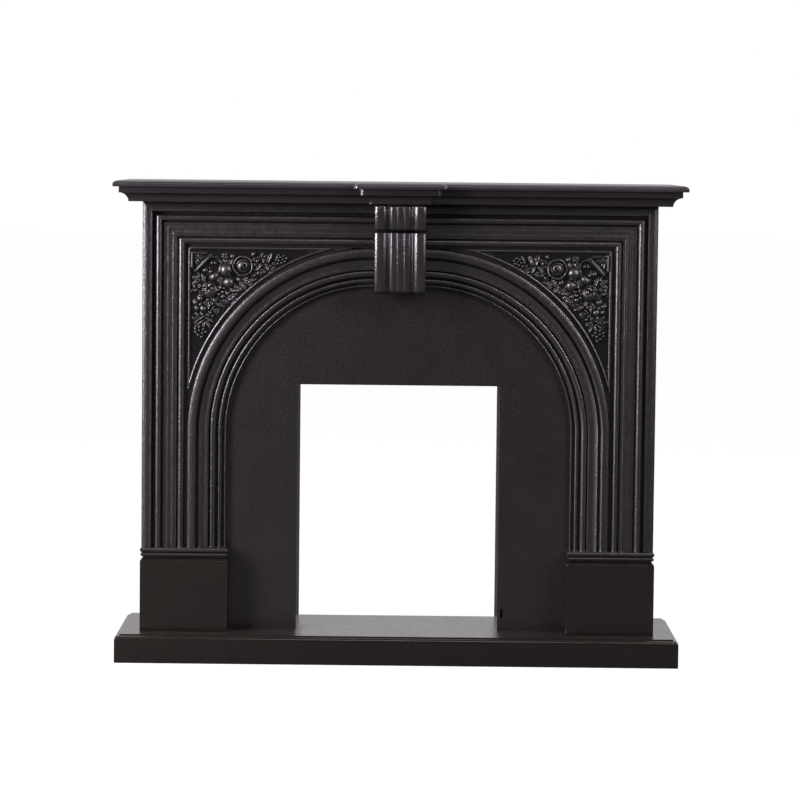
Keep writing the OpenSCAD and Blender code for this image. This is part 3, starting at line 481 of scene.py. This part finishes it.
rib = [(5, 4.2, 7.0, 0.25), (13.5, 7.0, 7.0, 0.4), (5, 7.0, 4.2, 0.25)]
rib_groove = [(2.6, 0, 0, 0), (2.8, 0, 0, 1.4), (2.6, 0, 0, 0)]
left_reed = [(3.4, 1.4, 4.4, 0.3), (9.0, 4.4, 4.9, 0.3), (2.2, 4.9, 4.0, 0.1)]
middle_reed = [(2.2, 4.0, 4.9, 0.1), (10.4, 4.9, 4.9, 0.3), (2.2, 4.9, 4.0, 0.1)]
right_reed = [(width, inner, outer, crown) for width, outer, inner, crown in left_reed[::-1]]
corbel_bands = rib + rib_groove + left_reed + middle_reed + right_reed + rib_groove + rib


def console(name, radius, curl, brow, crest, node):
    """A bowed front with ribs. Its contour is an arc of the given radius, whose foremost point lies
    crest below its top. It runs on without a break into an arc of the curl's radius below and, if
    it has one, of the brow's radius above. The ribs' profile stands along its normals, and it gets
    shallower by the share fade on the way round the curl and the brow."""
    contour, flank = 8, -4      # heights of the contour and of the flanks in the ribs' profile
    fade = 0.6
    low, high = span(node)
    z0, z1, front = low[2], high[2], low[1]
    line = band_line(corbel_bands)
    line[:, 0] -= line[-1, 0] / 2
    line = np.concatenate([[[-CORBEL_X, flank]], line, [[CORBEL_X, flank]]])
    x, rise = rounded_line(line, step=0.4, blur=0.6).T
    crest_z = z1 - crest
    lower = np.arcsin((z0 + curl - crest_z) / (radius - curl))
    upper = np.arcsin((z1 - brow - crest_z) / (radius - brow))
    above = np.linspace(np.pi / 2, upper, 12)[:-1] if brow else []
    below = np.linspace(lower, -np.pi / 2, 16)[1:]
    angle = np.r_[above, np.linspace(upper, lower, 40), below][:, None]
    bend = np.where(angle < lower, curl, np.where(angle > upper, brow, radius))
    at = np.clip(angle, lower, upper)
    centre_y = front + radius - (radius - bend) * np.cos(at)
    centre_z = crest_z + (radius - bend) * np.sin(at)
    past = np.maximum((lower - angle) / (lower + np.pi / 2), (angle - upper) / (np.pi / 2 - upper))
    depth = (contour - rise[None, :]) * (1 - fade * np.clip(past, 0, 1) ** 2)
    y = np.minimum(centre_y - (bend - depth) * np.cos(angle), CORE_Y)
    z = np.clip(centre_z + (bend - depth) * np.sin(angle), z0, z1)
    z[0] = z1
    rows = np.stack([np.broadcast_to(x, y.shape), y, z], -1)
    last = rows[-1:].copy()
    last[..., 1] = CORE_Y
    rows = np.concatenate([rows, last])
    back = np.linspace(z1, z0, len(rows))
    ends = [np.stack([np.full_like(back, end * CORBEL_X), np.full_like(back, CORE_Y), back], 1)
            for end in (-1, 1)]
    loft(name, np.concatenate([ends[0][:, None], rows, ends[1][:, None]], 1), RESIN,
         [node])


# Boards with moulded edges

def shelf():
    """The shelf with its break-front: a nose of 13 by 8 mm, chamfered below, over a set-back fascia
    of 7 mm. The front corners of the break-front are rounded to 9 mm."""
    low, high = span("shelf_top")
    nose_x, nose_y, wall_y = high[0], low[1] + BREAK_OUT, high[1]
    plan = [(-nose_x, wall_y), (-nose_x, nose_y), (-BREAK_X, nose_y),
            (-BREAK_X, nose_y - BREAK_OUT), (BREAK_X, nose_y - BREAK_OUT), (BREAK_X, nose_y),
            (nose_x, nose_y), (nose_x, wall_y)]
    fascia = [[COVE_BACK, 0], [COVE_BACK, 7], [1, 7], [0, 8]]
    board("mantel_shelf", plan, np.concatenate([fascia, quarter(13, 8, 0, 12)]), low[2],
          LIT_SHELF_LACQUER, ["shelf_top"], radii={3: 9, 4: 9})


def cove_edge():
    """The cove in section: a quarter hollow under an upright fillet, closed at the back."""
    radius, height, back = 18.5, 24, 52
    turn = np.linspace(0, np.pi / 2, 20)
    hollow = np.stack([COVE_BACK + radius * np.cos(turn), radius * np.sin(turn)], 1)
    return np.concatenate([[[back, 0]], hollow, [[COVE_BACK, height], [back, height]]])


def coves():
    """The cove under the shelf in four lengths: front, both returns, and round the break-front,
    whose front corners are rounded to 8 mm."""
    low = span("front_bed_moulding")[0]
    end_x, wall_y = span("shelf_top")[1][0], span("left_bed_moulding")[1][1]
    nose_y, z = low[1] - COVE_BACK, low[2]
    edge = cove_edge()
    inset = edge[:, :1]

    def row(x, y, dx, dy):
        """The section at a corner (x, y) of the shelf, moved by (dx, dy) for each mm of inset."""
        return np.concatenate([x + inset * dx, y + inset * dy, z + edge[:, 1:]], 1)

    loft("front_cove", np.stack([row(-end_x, nose_y, 1, 1), row(end_x, nose_y, -1, 1)]), LACQUER,
         ["front_bed_moulding"])
    for side in ("left", "right"):
        rows = np.stack([row(-end_x, wall_y, 1, 0), row(-end_x, nose_y, 1, 1)])
        loft(side + "_cove", mirrored(rows, side), LACQUER,
             [side + "_bed_moulding"])
    front_y = nose_y - BREAK_OUT
    plan = [(-BREAK_X, nose_y), (-BREAK_X, front_y), (BREAK_X, front_y), (BREAK_X, nose_y)]
    plan = eased(plan, {1: 8, 2: 8})[0]
    inward = np.stack([-np.sign(plan[:, 0]), np.ones(len(plan))], 1)
    face = edge[1:-1]
    offset = plan[:, None, :] + face[None, :, :1] * inward[:, None, :]
    height = np.broadcast_to(z + face[None, :, 1:], (*offset.shape[:2], 1))
    rows = np.concatenate([offset, height], -1)
    count, columns = rows.shape[:2]
    faces = ring_faces(count, columns, around=False, along=True)
    foot = np.arange(count) * columns
    faces += [foot.tolist(), (foot + columns - 1)[::-1].tolist()]
    solid("break_front_cove", rows.reshape(-1, 3), faces, LACQUER,
          ["break_front_bed_moulding"], sharp=40)


def hearth():
    """The hearth: a top whose edge is rounded to 8 mm, with a small step above that, on flat rails.
    Its front corners are rounded to 3 mm."""
    front_corners = {1: 3, 2: 3}
    low, high = span("hearth_top")
    edge = np.concatenate([[[0, 0]], quarter(8, 8, 0, 14), [[10, 22], [10, 25]]])
    board("hearth_slab", box_plan(low, high), edge, low[2], SHADED_BASE_LACQUER,
          ["hearth_top"], bevel=0, radii=front_corners)
    rail = [[0, 0], [0, low[2]]]
    for node, radii in (("hearth_front_rail", front_corners), ("hearth_left_rail", ()),
                        ("hearth_right_rail", ())):
        board(node + "_board", box_plan(*span(node)), rail, 0, SHADED_BASE_LACQUER,
              [node], bevel=0, radii=radii)


def plinths():
    """Plinth blocks with a chamfered top, and caps of a small bead under a larger one."""
    chamfer, neck = 8, 4.6          # the neck is how far the cap's foot is set in
    small_r, small_z = 3.6, 1.4     # radius of a bead, and height of its underside in the cap
    large_r, large_z = 5.25, 9.5
    turn = np.linspace(-np.pi / 2, np.pi / 2, 15)
    small = np.stack([neck - small_r * np.cos(turn), small_z + small_r * (1 + np.sin(turn))], 1)
    large = np.stack([large_r * (1 - np.cos(turn)), large_z + large_r * (1 + np.sin(turn))], 1)
    beads = np.concatenate([[[neck, 0]], small, large])
    for side in ("left", "right"):
        low, high = span(side + "_plinth_block")
        plan, height = box_plan(low, high), high[2] - low[2]
        board(side + "_plinth", plan, [[0, 0], [0, height - chamfer], [chamfer, height]], low[2],
              SHADED_BASE_LACQUER, [side + "_plinth_block"], bevel=1.0)
        board(side + "_plinth_bead", plan, beads, span(side + "_plinth_cap")[0][2], RESIN,
              [side + "_plinth_cap"], bevel=0)


# Spandrels

def spandrel_border(side):
    """The half-round bead along the two straight sides and the arc of the spandrel. The straight
    sides meet in a small quarter circle, and run on 4 mm past the arc's tips."""
    radius, rise, corner = 3.0, 2.5, 5.0
    line_at, arc_at = ARCH_R - 3.5, ARCH_R + 8.0    # from the haunch centre
    tip = np.arccos(line_at / arc_at)
    end = arc_at * np.sin(tip)
    bend = np.linspace(0, np.pi / 2, 9)[:, None]
    turned = line_at - corner + corner * np.concatenate([np.cos(bend), np.sin(bend)], 1)
    straight = np.concatenate([[[line_at, end - 4], [line_at, end]], turned,
                               [[end, line_at], [end - 4, line_at]]])
    overlap = 0.985                     # it buries the arc's ends in the straight sides
    sweep = np.linspace(tip * overlap, np.pi / 2 - tip * overlap, 97)[:, None]
    arc = arc_at * np.concatenate([np.cos(sweep), np.sin(sweep)], 1)
    turn = np.linspace(0, np.pi, 13)
    lift = FIELD_Y - rise - radius * np.sin(turn)
    lift[[0, -1]] = FIELD_Y + 0.3       # its feet reach 0.3 mm into the panel
    points, faces, first = [], [], 0
    for path in (straight, arc):
        along = np.gradient(path, axis=0)
        along /= np.linalg.norm(along, axis=1)[:, None]
        across = np.stack([along[:, 1], -along[:, 0]], 1)
        flat = path[:, None, :] + radius * np.cos(turn)[None, :, None] * across[:, None, :]
        rows = np.stack([-SPRING_X - flat[..., 0], np.broadcast_to(lift, flat.shape[:2]),
                         SPRING_Z + flat[..., 1]], -1)
        count, columns = rows.shape[:2]
        faces += ring_faces(count, columns, first)
        start, stop = first + np.arange(columns), first + (count - 1) * columns + np.arange(columns)
        faces += [start.tolist(), stop[::-1].tolist()]
        points.append(rows.reshape(-1, 3))
        first += count * columns
    solid(side + "_spandrel_bead", mirrored(np.concatenate(points), side), faces, RESIN,
          [side + "_spandrel_border"])


# The carved fruit and flowers of a spandrel. Places are mm across (inwards) and down from its
# corner, and a turn is in degrees from across towards down. Later forms lie over earlier ones.
# Each kind of form gives its shape, from 0 at its rim to 1, the way from each point to its outline
# in mm, which is below 0 inside, and the greatest height in mm that may be domed.
FORM_GROWTH = 1.15          # leaves, fruit and berries are this much larger than listed
FORM_RISE = 1.25            # and every form is this much higher
FORM_WALL = 0.5             # width of the steep wall round a form that stands higher than its dome
GROOVE_WIDTH = 1.5          # size of the groove that a form presses round itself
GROOVE_DEPTH = 5.0


def local(u, v, item):
    """The grid's points as a form sees them: mm along its axis and mm across it."""
    turn = np.radians(item["turn"])
    du, dv = u - item["u"], v - item["v"]
    return du * np.cos(turn) + dv * np.sin(turn), dv * np.cos(turn) - du * np.sin(turn)


def dome(u, v, item):
    """A fruit or berry: half an ellipsoid, sqrt(1 - q^2) at q times its radius. Ribs along it cut
    in by up to 16%, and petals round it by up to 40% at its rim."""
    along, across = local(u, v, item)
    across = across / item["narrow"]
    q = np.hypot(along, across) / item["size"]
    height = np.sqrt(np.maximum(1 - q * q, 0))
    if item["ribs"]:
        waves = np.abs(np.sin(item["ribs"] * np.pi * across / item["size"] / 2))
        height = height * (1 - 0.16 * waves)
    if item["petals"]:
        petals = np.abs(np.sin(item["petals"] * np.arctan2(across, along) / 2)) ** 0.6
        height = height * (1 - 0.4 * np.clip(q, 0, 1) * (1 - petals))
    gap = (q - 1) * item["size"] * min(1, item["narrow"] * 1.3)
    return height, gap, 0.95 * item["size"] * item["narrow"] ** 0.5


def leaf(u, v, item):
    """A leaf: its half width is w (1 - t^2)^0.6 (1 - 0.25 t) at share t of its half length, times
    0.8 to 1 for its pointed lobes. Its midrib is cut in by 62%, and its veins, which slant from
    that towards the tip, by 28%."""
    along, across = local(u, v, item)
    t = along / item["size"]
    inside = np.clip(t, -0.999, 0.999)
    lobe = 0.8 + 0.2 * np.abs(np.sin(item["ribs"] * np.pi * (inside + 1) / 2))
    half = item["size"] * item["narrow"] * (1 - inside ** 2) ** 0.6 * (1 - 0.25 * inside) * lobe
    side = np.abs(across) / half
    bulge = np.maximum(1 - side ** 2.4, 0) ** 0.6 * (1 - inside ** 2) ** 0.25
    rib = 1 - 0.62 * np.exp(-(across / (0.24 * item["size"] * item["narrow"] + 0.4)) ** 2)
    veins = 1 - 0.28 * np.abs(np.sin(item["ribs"] * np.pi * (t - 0.5 * side + 1) / 2)) ** 3
    gap = np.maximum(np.abs(across) - half, (np.abs(t) - 1) * item["size"])
    return np.where(gap < 0, bulge * rib * veins, 0), gap, item["size"] * item["narrow"]


def rose(u, v, item):
    """An open rose: a ball of petals, 0.64 of its radius, wound in a spiral whose eye lies 6 mm off
    its middle, inside a ring of five outer petals with raised rims, and a deep gap between the
    two. It is domed to its full height."""
    along, across = local(u, v, item)
    r, around = np.hypot(along, across), np.arctan2(across, along)
    q = r / item["size"]
    ball = np.sqrt(np.maximum(1 - (q / 0.64) ** 2, 0)) ** 0.8
    wound = np.hypot(along - 6 * np.clip(1 - q / 0.64, 0, 1), across) / item["size"]
    spiral = (around / (2 * np.pi) + 3.4 * np.sqrt(wound)) % 1
    ball = ball * (1 - 0.75 * np.clip(1 - 2.2 * spiral, 0, 1))
    petal = (5 * around / (2 * np.pi) + 0.35) % 1
    edge = 0.93 + 0.07 * petal
    bend = (q - 0.9 * edge) * item["size"] / 2.2
    rim = 0.34 + 0.14 * np.sqrt(np.maximum(1 - bend ** 2, 0)) + 0.2 * petal
    rim = np.where((q > edge) | (np.abs(bend) >= 1), 0, rim)
    shape = np.maximum(ball, np.maximum(rim, 0.05 * (q < edge)))
    return shape, (q - edge) * item["size"], np.inf


def bar(u, v, item):
    """A half-round stroke with round ends: size is half its length and narrow half its width. It is
    straight, or bent round a circle of radius bend, to the other side if bend is below 0."""
    along, across = local(u, v, item)
    if item["bend"]:
        r = item["bend"]
        around = np.arctan2(along, abs(r) - np.sign(r) * across)
        across = np.hypot(along, r - across) - abs(r)
        along = np.clip(around, -np.pi, np.pi) * abs(r)
    over = np.maximum(np.abs(along) - item["size"], 0)
    q = np.hypot(over, across) / item["narrow"]
    return np.sqrt(np.maximum(1 - q * q, 0)), (q - 1) * item["narrow"], 1.1 * item["narrow"]


def form(kind, u, v, size, height, narrow=1.0, turn=0.0, ribs=0, petals=0, bend=0.0):
    """A form's kind, middle, radius or half length, and height, with what else it may have."""
    return dict(kind=kind, u=u, v=v, size=size, height=height, narrow=narrow, turn=turn, ribs=ribs,
                petals=petals, bend=bend)


carved_forms = [
    # corner piece: two bars, a diagonal and a small fan of strokes between them
    form(bar, 14.2, 33.5, 15, 5.6, 2.6, 90), form(bar, 32, 19.5, 12.5, 3.8, 2.2),
    form(bar, 27, 28, 6, 1.0, 1.2, 35), form(bar, 24, 33.5, 5, 1.0, 1.2, 50),
    form(bar, 33, 26, 6, 1.0, 1.2, 20), form(bar, 22, 40, 4, 1.4, 1.1, 75),
    form(bar, 38.7, 40.3, 23.5, 6.0, 2.5, -46),
    # leaves behind the fruit
    form(leaf, 25, 74, 9, 4.5, 0.4, 195, 5), form(leaf, 30, 66, 7, 5, 0.4, 235, 4),
    form(leaf, 38, 72, 8, 6, 0.5, -110, 4), form(leaf, 22, 82, 7, 4, 0.35, 160, 4),
    form(leaf, 36, 106, 10, 4.5, 0.42, 120, 5), form(leaf, 46, 110, 8, 4, 0.4, 70, 4),
    form(leaf, 85, 36, 10, 5, 0.45, -100, 4), form(leaf, 96, 38, 9, 5, 0.45, -60, 4),
    form(leaf, 110, 95, 13, 5.5, 0.45, -12, 4), form(leaf, 97, 112, 12, 5, 0.5, -35, 3),
    form(leaf, 122, 86, 10, 5, 0.5, 60, 5), form(leaf, 104, 88, 9, 5, 0.45, 20, 4),
    form(leaf, 134, 82, 10, 4.5, 0.45, 35, 5), form(leaf, 128, 74, 8, 5, 0.5, -70, 4),
    form(leaf, 140, 76, 9, 4, 0.4, -15, 4), form(leaf, 158, 57, 14, 6, 0.5, -8, 4),
    form(leaf, 148, 63, 9, 5, 0.5, -30, 2), form(leaf, 147, 41, 9, 6, 0.45, 150, 2),
    form(leaf, 153, 30, 10, 6.5, 0.42, -20, 2), form(leaf, 158, 45, 10, 5.5, 0.42, -40, 2),
    form(leaf, 165, 30, 12, 7, 0.4, -110, 2), form(leaf, 176, 31, 12, 6.5, 0.38, 115, 2),
    form(leaf, 181, 49, 13, 7, 0.5, 8, 3), form(leaf, 172, 47, 8, 7.5, 0.45, -120, 2),
    form(leaf, 191, 42, 8, 4.5, 0.4, 20, 2), form(bar, 178.6, 59, 2.5, 4, 1.3, 75),
    form(leaf, 193.4, 27, 7.5, 5.5, 0.45, -60, 3),
    # lobed leaves of the lower part
    form(leaf, 47, 124, 10, 6, 0.45, 150, 4), form(leaf, 50, 130, 9, 5.5, 0.4, 105, 4),
    form(leaf, 58, 119, 9, 6, 0.42, -80, 4), form(leaf, 66, 121, 10, 6, 0.42, 30, 4),
    form(leaf, 74, 128, 10, 4.5, 0.35, 20, 4), form(leaf, 84, 122, 9, 4, 0.4, -5, 4),
    form(bar, 56, 139, 9, 4, 1.6, 125), form(bar, 74, 119, 8, 4, 1.3, 35, bend=-16),
    form(leaf, 27, 151, 7, 4, 0.35, 215, 3), form(leaf, 35, 149, 7, 4, 0.35, 265, 3),
    form(leaf, 20, 158, 7, 3.5, 0.35, 190, 3), form(leaf, 47, 153, 8, 4.5, 0.4, -60, 4),
    form(leaf, 33, 162, 13, 7, 0.5, 145, 5), form(leaf, 31, 169, 12, 6, 0.35, 140, 5),
    form(leaf, 50, 161, 9, 6, 0.5, 15, 5), form(leaf, 48, 169, 9, 5, 0.4, 60, 4),
    form(leaf, 39, 173, 9, 5, 0.38, 105, 4), form(leaf, 27, 178, 8, 4.5, 0.38, 130, 4),
    # small flowers and buds
    form(dome, 84.5, 25, 6, 6, petals=4, turn=20), form(dome, 80.5, 22, 2.6, 6),
    form(dome, 88, 28, 2.8, 6), form(dome, 98.8, 26, 4.8, 6),
    form(dome, 143.4, 20.8, 4.2, 5.5, 0.75, 120), form(dome, 152, 35, 3.6, 7),
    form(dome, 146, 65, 2.8, 4.5), form(dome, 168, 25, 3, 5),
    form(bar, 68.8, 29.9, 17, 4.5, 1.7, 35, bend=16), form(dome, 57.5, 40, 3.6, 8),
    form(dome, 63.4, 40, 3.2, 8), form(bar, 57, 56, 7, 4.5, 1.6, 45),
    form(dome, 42.5, 55.5, 5.4, 6.5, 0.8, 20), form(dome, 53, 59, 4, 5),
    form(leaf, 20, 91, 6, 5, 0.4, 60, 3), form(leaf, 28, 92, 6, 5, 0.4, 130, 3),
    form(leaf, 17, 100, 6, 5, 0.4, 10, 3), form(leaf, 30, 101, 6, 5, 0.4, 200, 3),
    form(dome, 22.5, 98, 4.6, 7, 0.6, -35), form(dome, 113.6, 74.8, 4, 6.5),
    form(dome, 65.6, 142.2, 5.6, 4.5, petals=5), form(dome, 65.6, 142.2, 2, 5.5),
    form(dome, 54, 145.5, 2.8, 5, 0.7, 110), form(dome, 58, 152, 2.6, 4),
    # berries
    *[form(dome, u, v, r, 5.2 + 0.25 * r) for u, v, r in (
        (31.6, 115.5, 5.2), (22, 124, 4.7), (32.7, 128.8, 4.3), (25.2, 136.3, 4.6),
        (38, 137.2, 6.4), (69, 97.6, 4.4), (76, 92.5, 3.6), (82.5, 92.6, 3.4), (79.6, 101.7, 4),
        (89, 103.7, 4.2), (79.6, 110.7, 4.6), (71, 106, 3.6), (207.2, 24.5, 2.7),
        (197.6, 33.5, 2.9), (205, 30.8, 2.8), (212.5, 29.2, 2.7), (202.9, 38.2, 2.8),
        (209.8, 35.2, 2.6), (195, 40.5, 2.6), (200.8, 26.5, 2.6), (29.5, 183, 3),
        (23, 186.2, 2.9), (36.9, 188.2, 3.2), (28.4, 192.5, 3), (34.8, 196.7, 3),
        (43.4, 185.5, 2.9), (39, 180, 2.8), (22, 180, 2.6))],
    # fruit and the rose
    form(dome, 52, 97.2, 14.3, 10.5), form(dome, 46.5, 90, 4.4, 9.3), form(dome, 53, 87, 4.6, 9.3),
    form(dome, 42.5, 96.5, 3.8, 8.9), form(dome, 57.5, 93.5, 3.8, 9.6),
    form(dome, 75, 76, 13.5, 8, 0.58, 48, ribs=6), form(dome, 61.5, 68.5, 10, 9, 0.7, -40),
    form(dome, 92, 81, 10, 9.5), form(dome, 86, 55, 12.4, 10.5),
    form(dome, 92, 62, 2.2, 10.4, petals=5), form(rose, 121.4, 46, 23, 10.5),
]


def carving():
    """The relief as a grid between the border's arc and its straight sides, in polar places about
    the haunch centre. Every form presses a groove exp(-(gap / 1.5 mm)^2) as deep as what lies below
    it, but 5 mm at most, round itself. Then it stands out: a steep wall below, and on top of it a
    dome no higher than about half its width. At the end each point takes half its height from its
    two neighbours across."""
    columns, across = 420, 230                      # grid points along the arc and away from it
    ground = 0.9                                    # thickness of the resin between the forms
    corner_at = ARCH_R + 5                          # where the forms' places start
    line_at, arc_at = ARCH_R - 6.7, ARCH_R + 12.2   # the border's beads lie outside these
    tip = np.arccos(line_at / (arc_at + 6))         # the strip between them is 6 mm wide there
    angle = np.linspace(tip, np.pi / 2 - tip, columns)[:, None]
    edge = line_at / np.maximum(np.sin(angle), np.cos(angle))
    radius = arc_at + (edge - arc_at) * np.linspace(0, 1, across)[None, :]
    out, up = radius * np.sin(angle), radius * np.cos(angle)
    u, v = corner_at - out, corner_at - up
    relief = np.zeros_like(u)
    for item in carved_forms:
        if item["kind"] in (dome, leaf):
            item = dict(item, size=FORM_GROWTH * item["size"])
        shape, gap, full = item["kind"](u, v, item)
        groove = np.where(gap > 0, np.exp(-(gap / GROOVE_WIDTH) ** 2), 0)
        groove = groove * np.minimum(relief, GROOVE_DEPTH)
        height = FORM_RISE * item["height"]
        domed = min(full, height)
        standing = (height - domed) * np.clip(-gap / FORM_WALL, 0, 1) + domed * shape
        relief = np.maximum(relief - groove, np.where(shape > 0, standing, 0))
    relief = (relief + 0.5 * (np.roll(relief, 1, 1) + np.roll(relief, -1, 1))) / 2
    top = np.stack([-SPRING_X - out, FIELD_Y - ground - relief, SPRING_Z + up], -1).reshape(-1, 3)
    faces = ring_faces(columns, across, around=False)
    rim = np.r_[np.arange(across), (np.arange(1, columns) + 1) * across - 1,
                (columns - 1) * across + np.arange(across - 2, -1, -1),
                np.arange(columns - 2, 0, -1) * across]
    foot = top[rim].copy()
    foot[:, 1] = FIELD_Y
    wall = len(top) + np.arange(len(rim))
    faces += np.stack([rim, np.roll(rim, -1), np.roll(wall, -1), wall], 1).tolist()
    faces.append(wall.tolist())
    points = np.concatenate([top, foot])
    for side in ("left", "right"):
        solid(side + "_spandrel_carving", mirrored(points, side), faces, CARVED,
              [side + "_carving"], sharp=50)


for side in ("left", "right"):
    frame_beads(side)
    arch_beads(side)
    spandrel_border(side)
console("upper_corbel_console", 90, 10, 9, 15, "upper_console")
console("lower_corbel_console", 300, 12, 0, 36, "lower_console")
shelf()
coves()
hearth()
plinths()
carving()

# The solids that stay, each with its own finish
long_axes = {"hearth_battens": 1, "corner_battens": 2, "lintel_batten": 0, "jamb_battens": 2,
             "shelf_cleats": 1, "base_cleats": 1, "dowels": 0}
finishes = {"black_lacquer": LACQUER, "black_cast_resin": RESIN, "raw_board": BOARD,
            "zinc_steel": ZINC}
for part in frame["record"]["subparts"]:
    name, slot = part["node"], part["material_slot"]
    mesh = frame["nodes"][name].data
    mesh.materials.clear()
    mesh.materials.append(PINE[long_axes[name]] if slot == "pine" else finishes[slot])


# Studio: floor, world, lamps and camera

def seen_directly(tree):
    """1 for rays from the camera, straight or through something clear, and 0 for all others."""
    straight = add(tree, "LightPath", output="Is Camera Ray")
    through = add(tree, "LightPath", output="Is Transmission Ray")
    return add(tree, "Math", {0: straight, 1: through}, operation="MAXIMUM")


def pale_floor():
    """A plain white floor, so large that its rim is out of view. It glows white for the camera
    alone, and its own dim shading adds a little and lets the shadow show."""
    far, shading, glow = 30.0, 0.12, 0.95
    mesh = bpy.data.meshes.new("floor")
    mesh.from_pydata([(-far, -far, 0), (far, -far, 0), (far, far, 0), (-far, far, 0)], [],
                     [(0, 1, 2, 3)])
    material = bpy.data.materials.new("white_studio_floor")
    material.use_nodes = True
    tree = material.node_tree
    tree.nodes.remove(tree.nodes["Principled BSDF"])
    painted = add(tree, "BsdfDiffuse", {"Color": grey(shading)})
    strength = add(tree, "Math", {0: seen_directly(tree), 1: glow}, operation="MULTIPLY")
    white = add(tree, "Emission", {"Color": grey(1.0), "Strength": strength})
    surface = add(tree, "AddShader", {0: painted, 1: white})
    fill(tree, tree.nodes["Material Output"], {"Surface": surface})
    mesh.materials.append(material)
    floor = bpy.data.objects.new("floor", mesh)
    bpy.context.scene.collection.objects.link(floor)


def studio_world():
    """White where the camera looks at the backdrop, straight, through glass or by a reflection, and
    otherwise a soft grey light, which is brighter from behind than from the front."""
    front, behind = 0.04, 0.6
    world = bpy.data.worlds.new("studio")
    bpy.context.scene.world = world
    world.use_nodes = True
    tree = world.node_tree
    direction = add(tree, "TexCoord", output="Generated")
    backwards = add(tree, "SeparateXYZ", {"Vector": direction}, "Y")
    backdrop = add(tree, "MapRange", {"Value": backwards, "From Min": -0.1, "From Max": 0.3})
    strength = add(tree, "MapRange", {"Value": backdrop, "To Min": front, "To Max": behind})
    soft = tree.nodes["Background"]
    fill(tree, soft, {"Color": grey(1.0), "Strength": strength})
    white = add(tree, "Background", {"Color": grey(1.0), "Strength": 1.0})
    glossy = add(tree, "LightPath", output="Is Glossy Ray")
    glossy = add(tree, "Math", {0: glossy, 1: backdrop}, operation="MULTIPLY")
    seen = add(tree, "Math", {0: seen_directly(tree), 1: glossy}, operation="MAXIMUM")
    surface = add(tree, "MixShader", {0: seen, 1: soft.outputs[0], 2: white})
    fill(tree, tree.nodes["World Output"], {"Surface": surface})


LAMP_COLOUR = "#f9f1ff"     # a cool white, as the photo's highlights are


def softbox(name, place, target, size, power):
    """A rectangular studio light that faces a point. Places and sizes are in metres, and the power
    is in watts."""
    light = bpy.data.lights.new(name, "AREA")
    light.shape = "RECTANGLE"
    light.size, light.size_y = size
    light.energy = power
    light.color = linear(LAMP_COLOUR)[:3]
    lamp = bpy.data.objects.new(name, light)
    lamp.location = place
    lamp.rotation_euler = (Vector(target) - Vector(place)).to_track_quat("-Z", "Y").to_euler()
    bpy.context.scene.collection.objects.link(lamp)


def studio_camera():
    """The photograph's view: 6 m away at chest height, tilted down and rolled a little. The angles
    are in degrees, and the place is in metres."""
    camera = bpy.data.cameras.new("camera")
    camera.sensor_width = 36.0
    camera.lens = 125.98
    camera.shift_y = -0.08
    pitch, yaw, roll = np.radians([3.776, 0.027, 0.611])
    forward = Vector((np.sin(yaw) * np.cos(pitch), np.cos(yaw) * np.cos(pitch), -np.sin(pitch)))
    right = Vector((np.cos(yaw), -np.sin(yaw), 0))
    up = right.cross(forward)
    right, up = right * np.cos(roll) + up * np.sin(roll), up * np.cos(roll) - right * np.sin(roll)
    view = Matrix((right, up, -forward)).transposed().to_4x4()
    view.translation = (-0.00155, -5.9536, 1.08027)
    seen_by = bpy.data.objects.new("camera", camera)
    seen_by.matrix_world = view
    bpy.context.scene.collection.objects.link(seen_by)
    bpy.context.scene.camera = seen_by


pale_floor()
studio_world()
softbox("left_softbox", (-2.44, -1.58, 1.5), (0, 0, 0.78), (0.95, 1.6), 188)
softbox("right_softbox", (2.15, -1.8, 2.15), (0, 0, 0.78), (1.1, 1.9), 84)
softbox("top_softbox", (0.0, -2.0, 2.93), (0, 0, 0.7), (1.4, 0.6), 11)
studio_camera()
bpy.context.scene.view_settings.view_transform = "Standard"
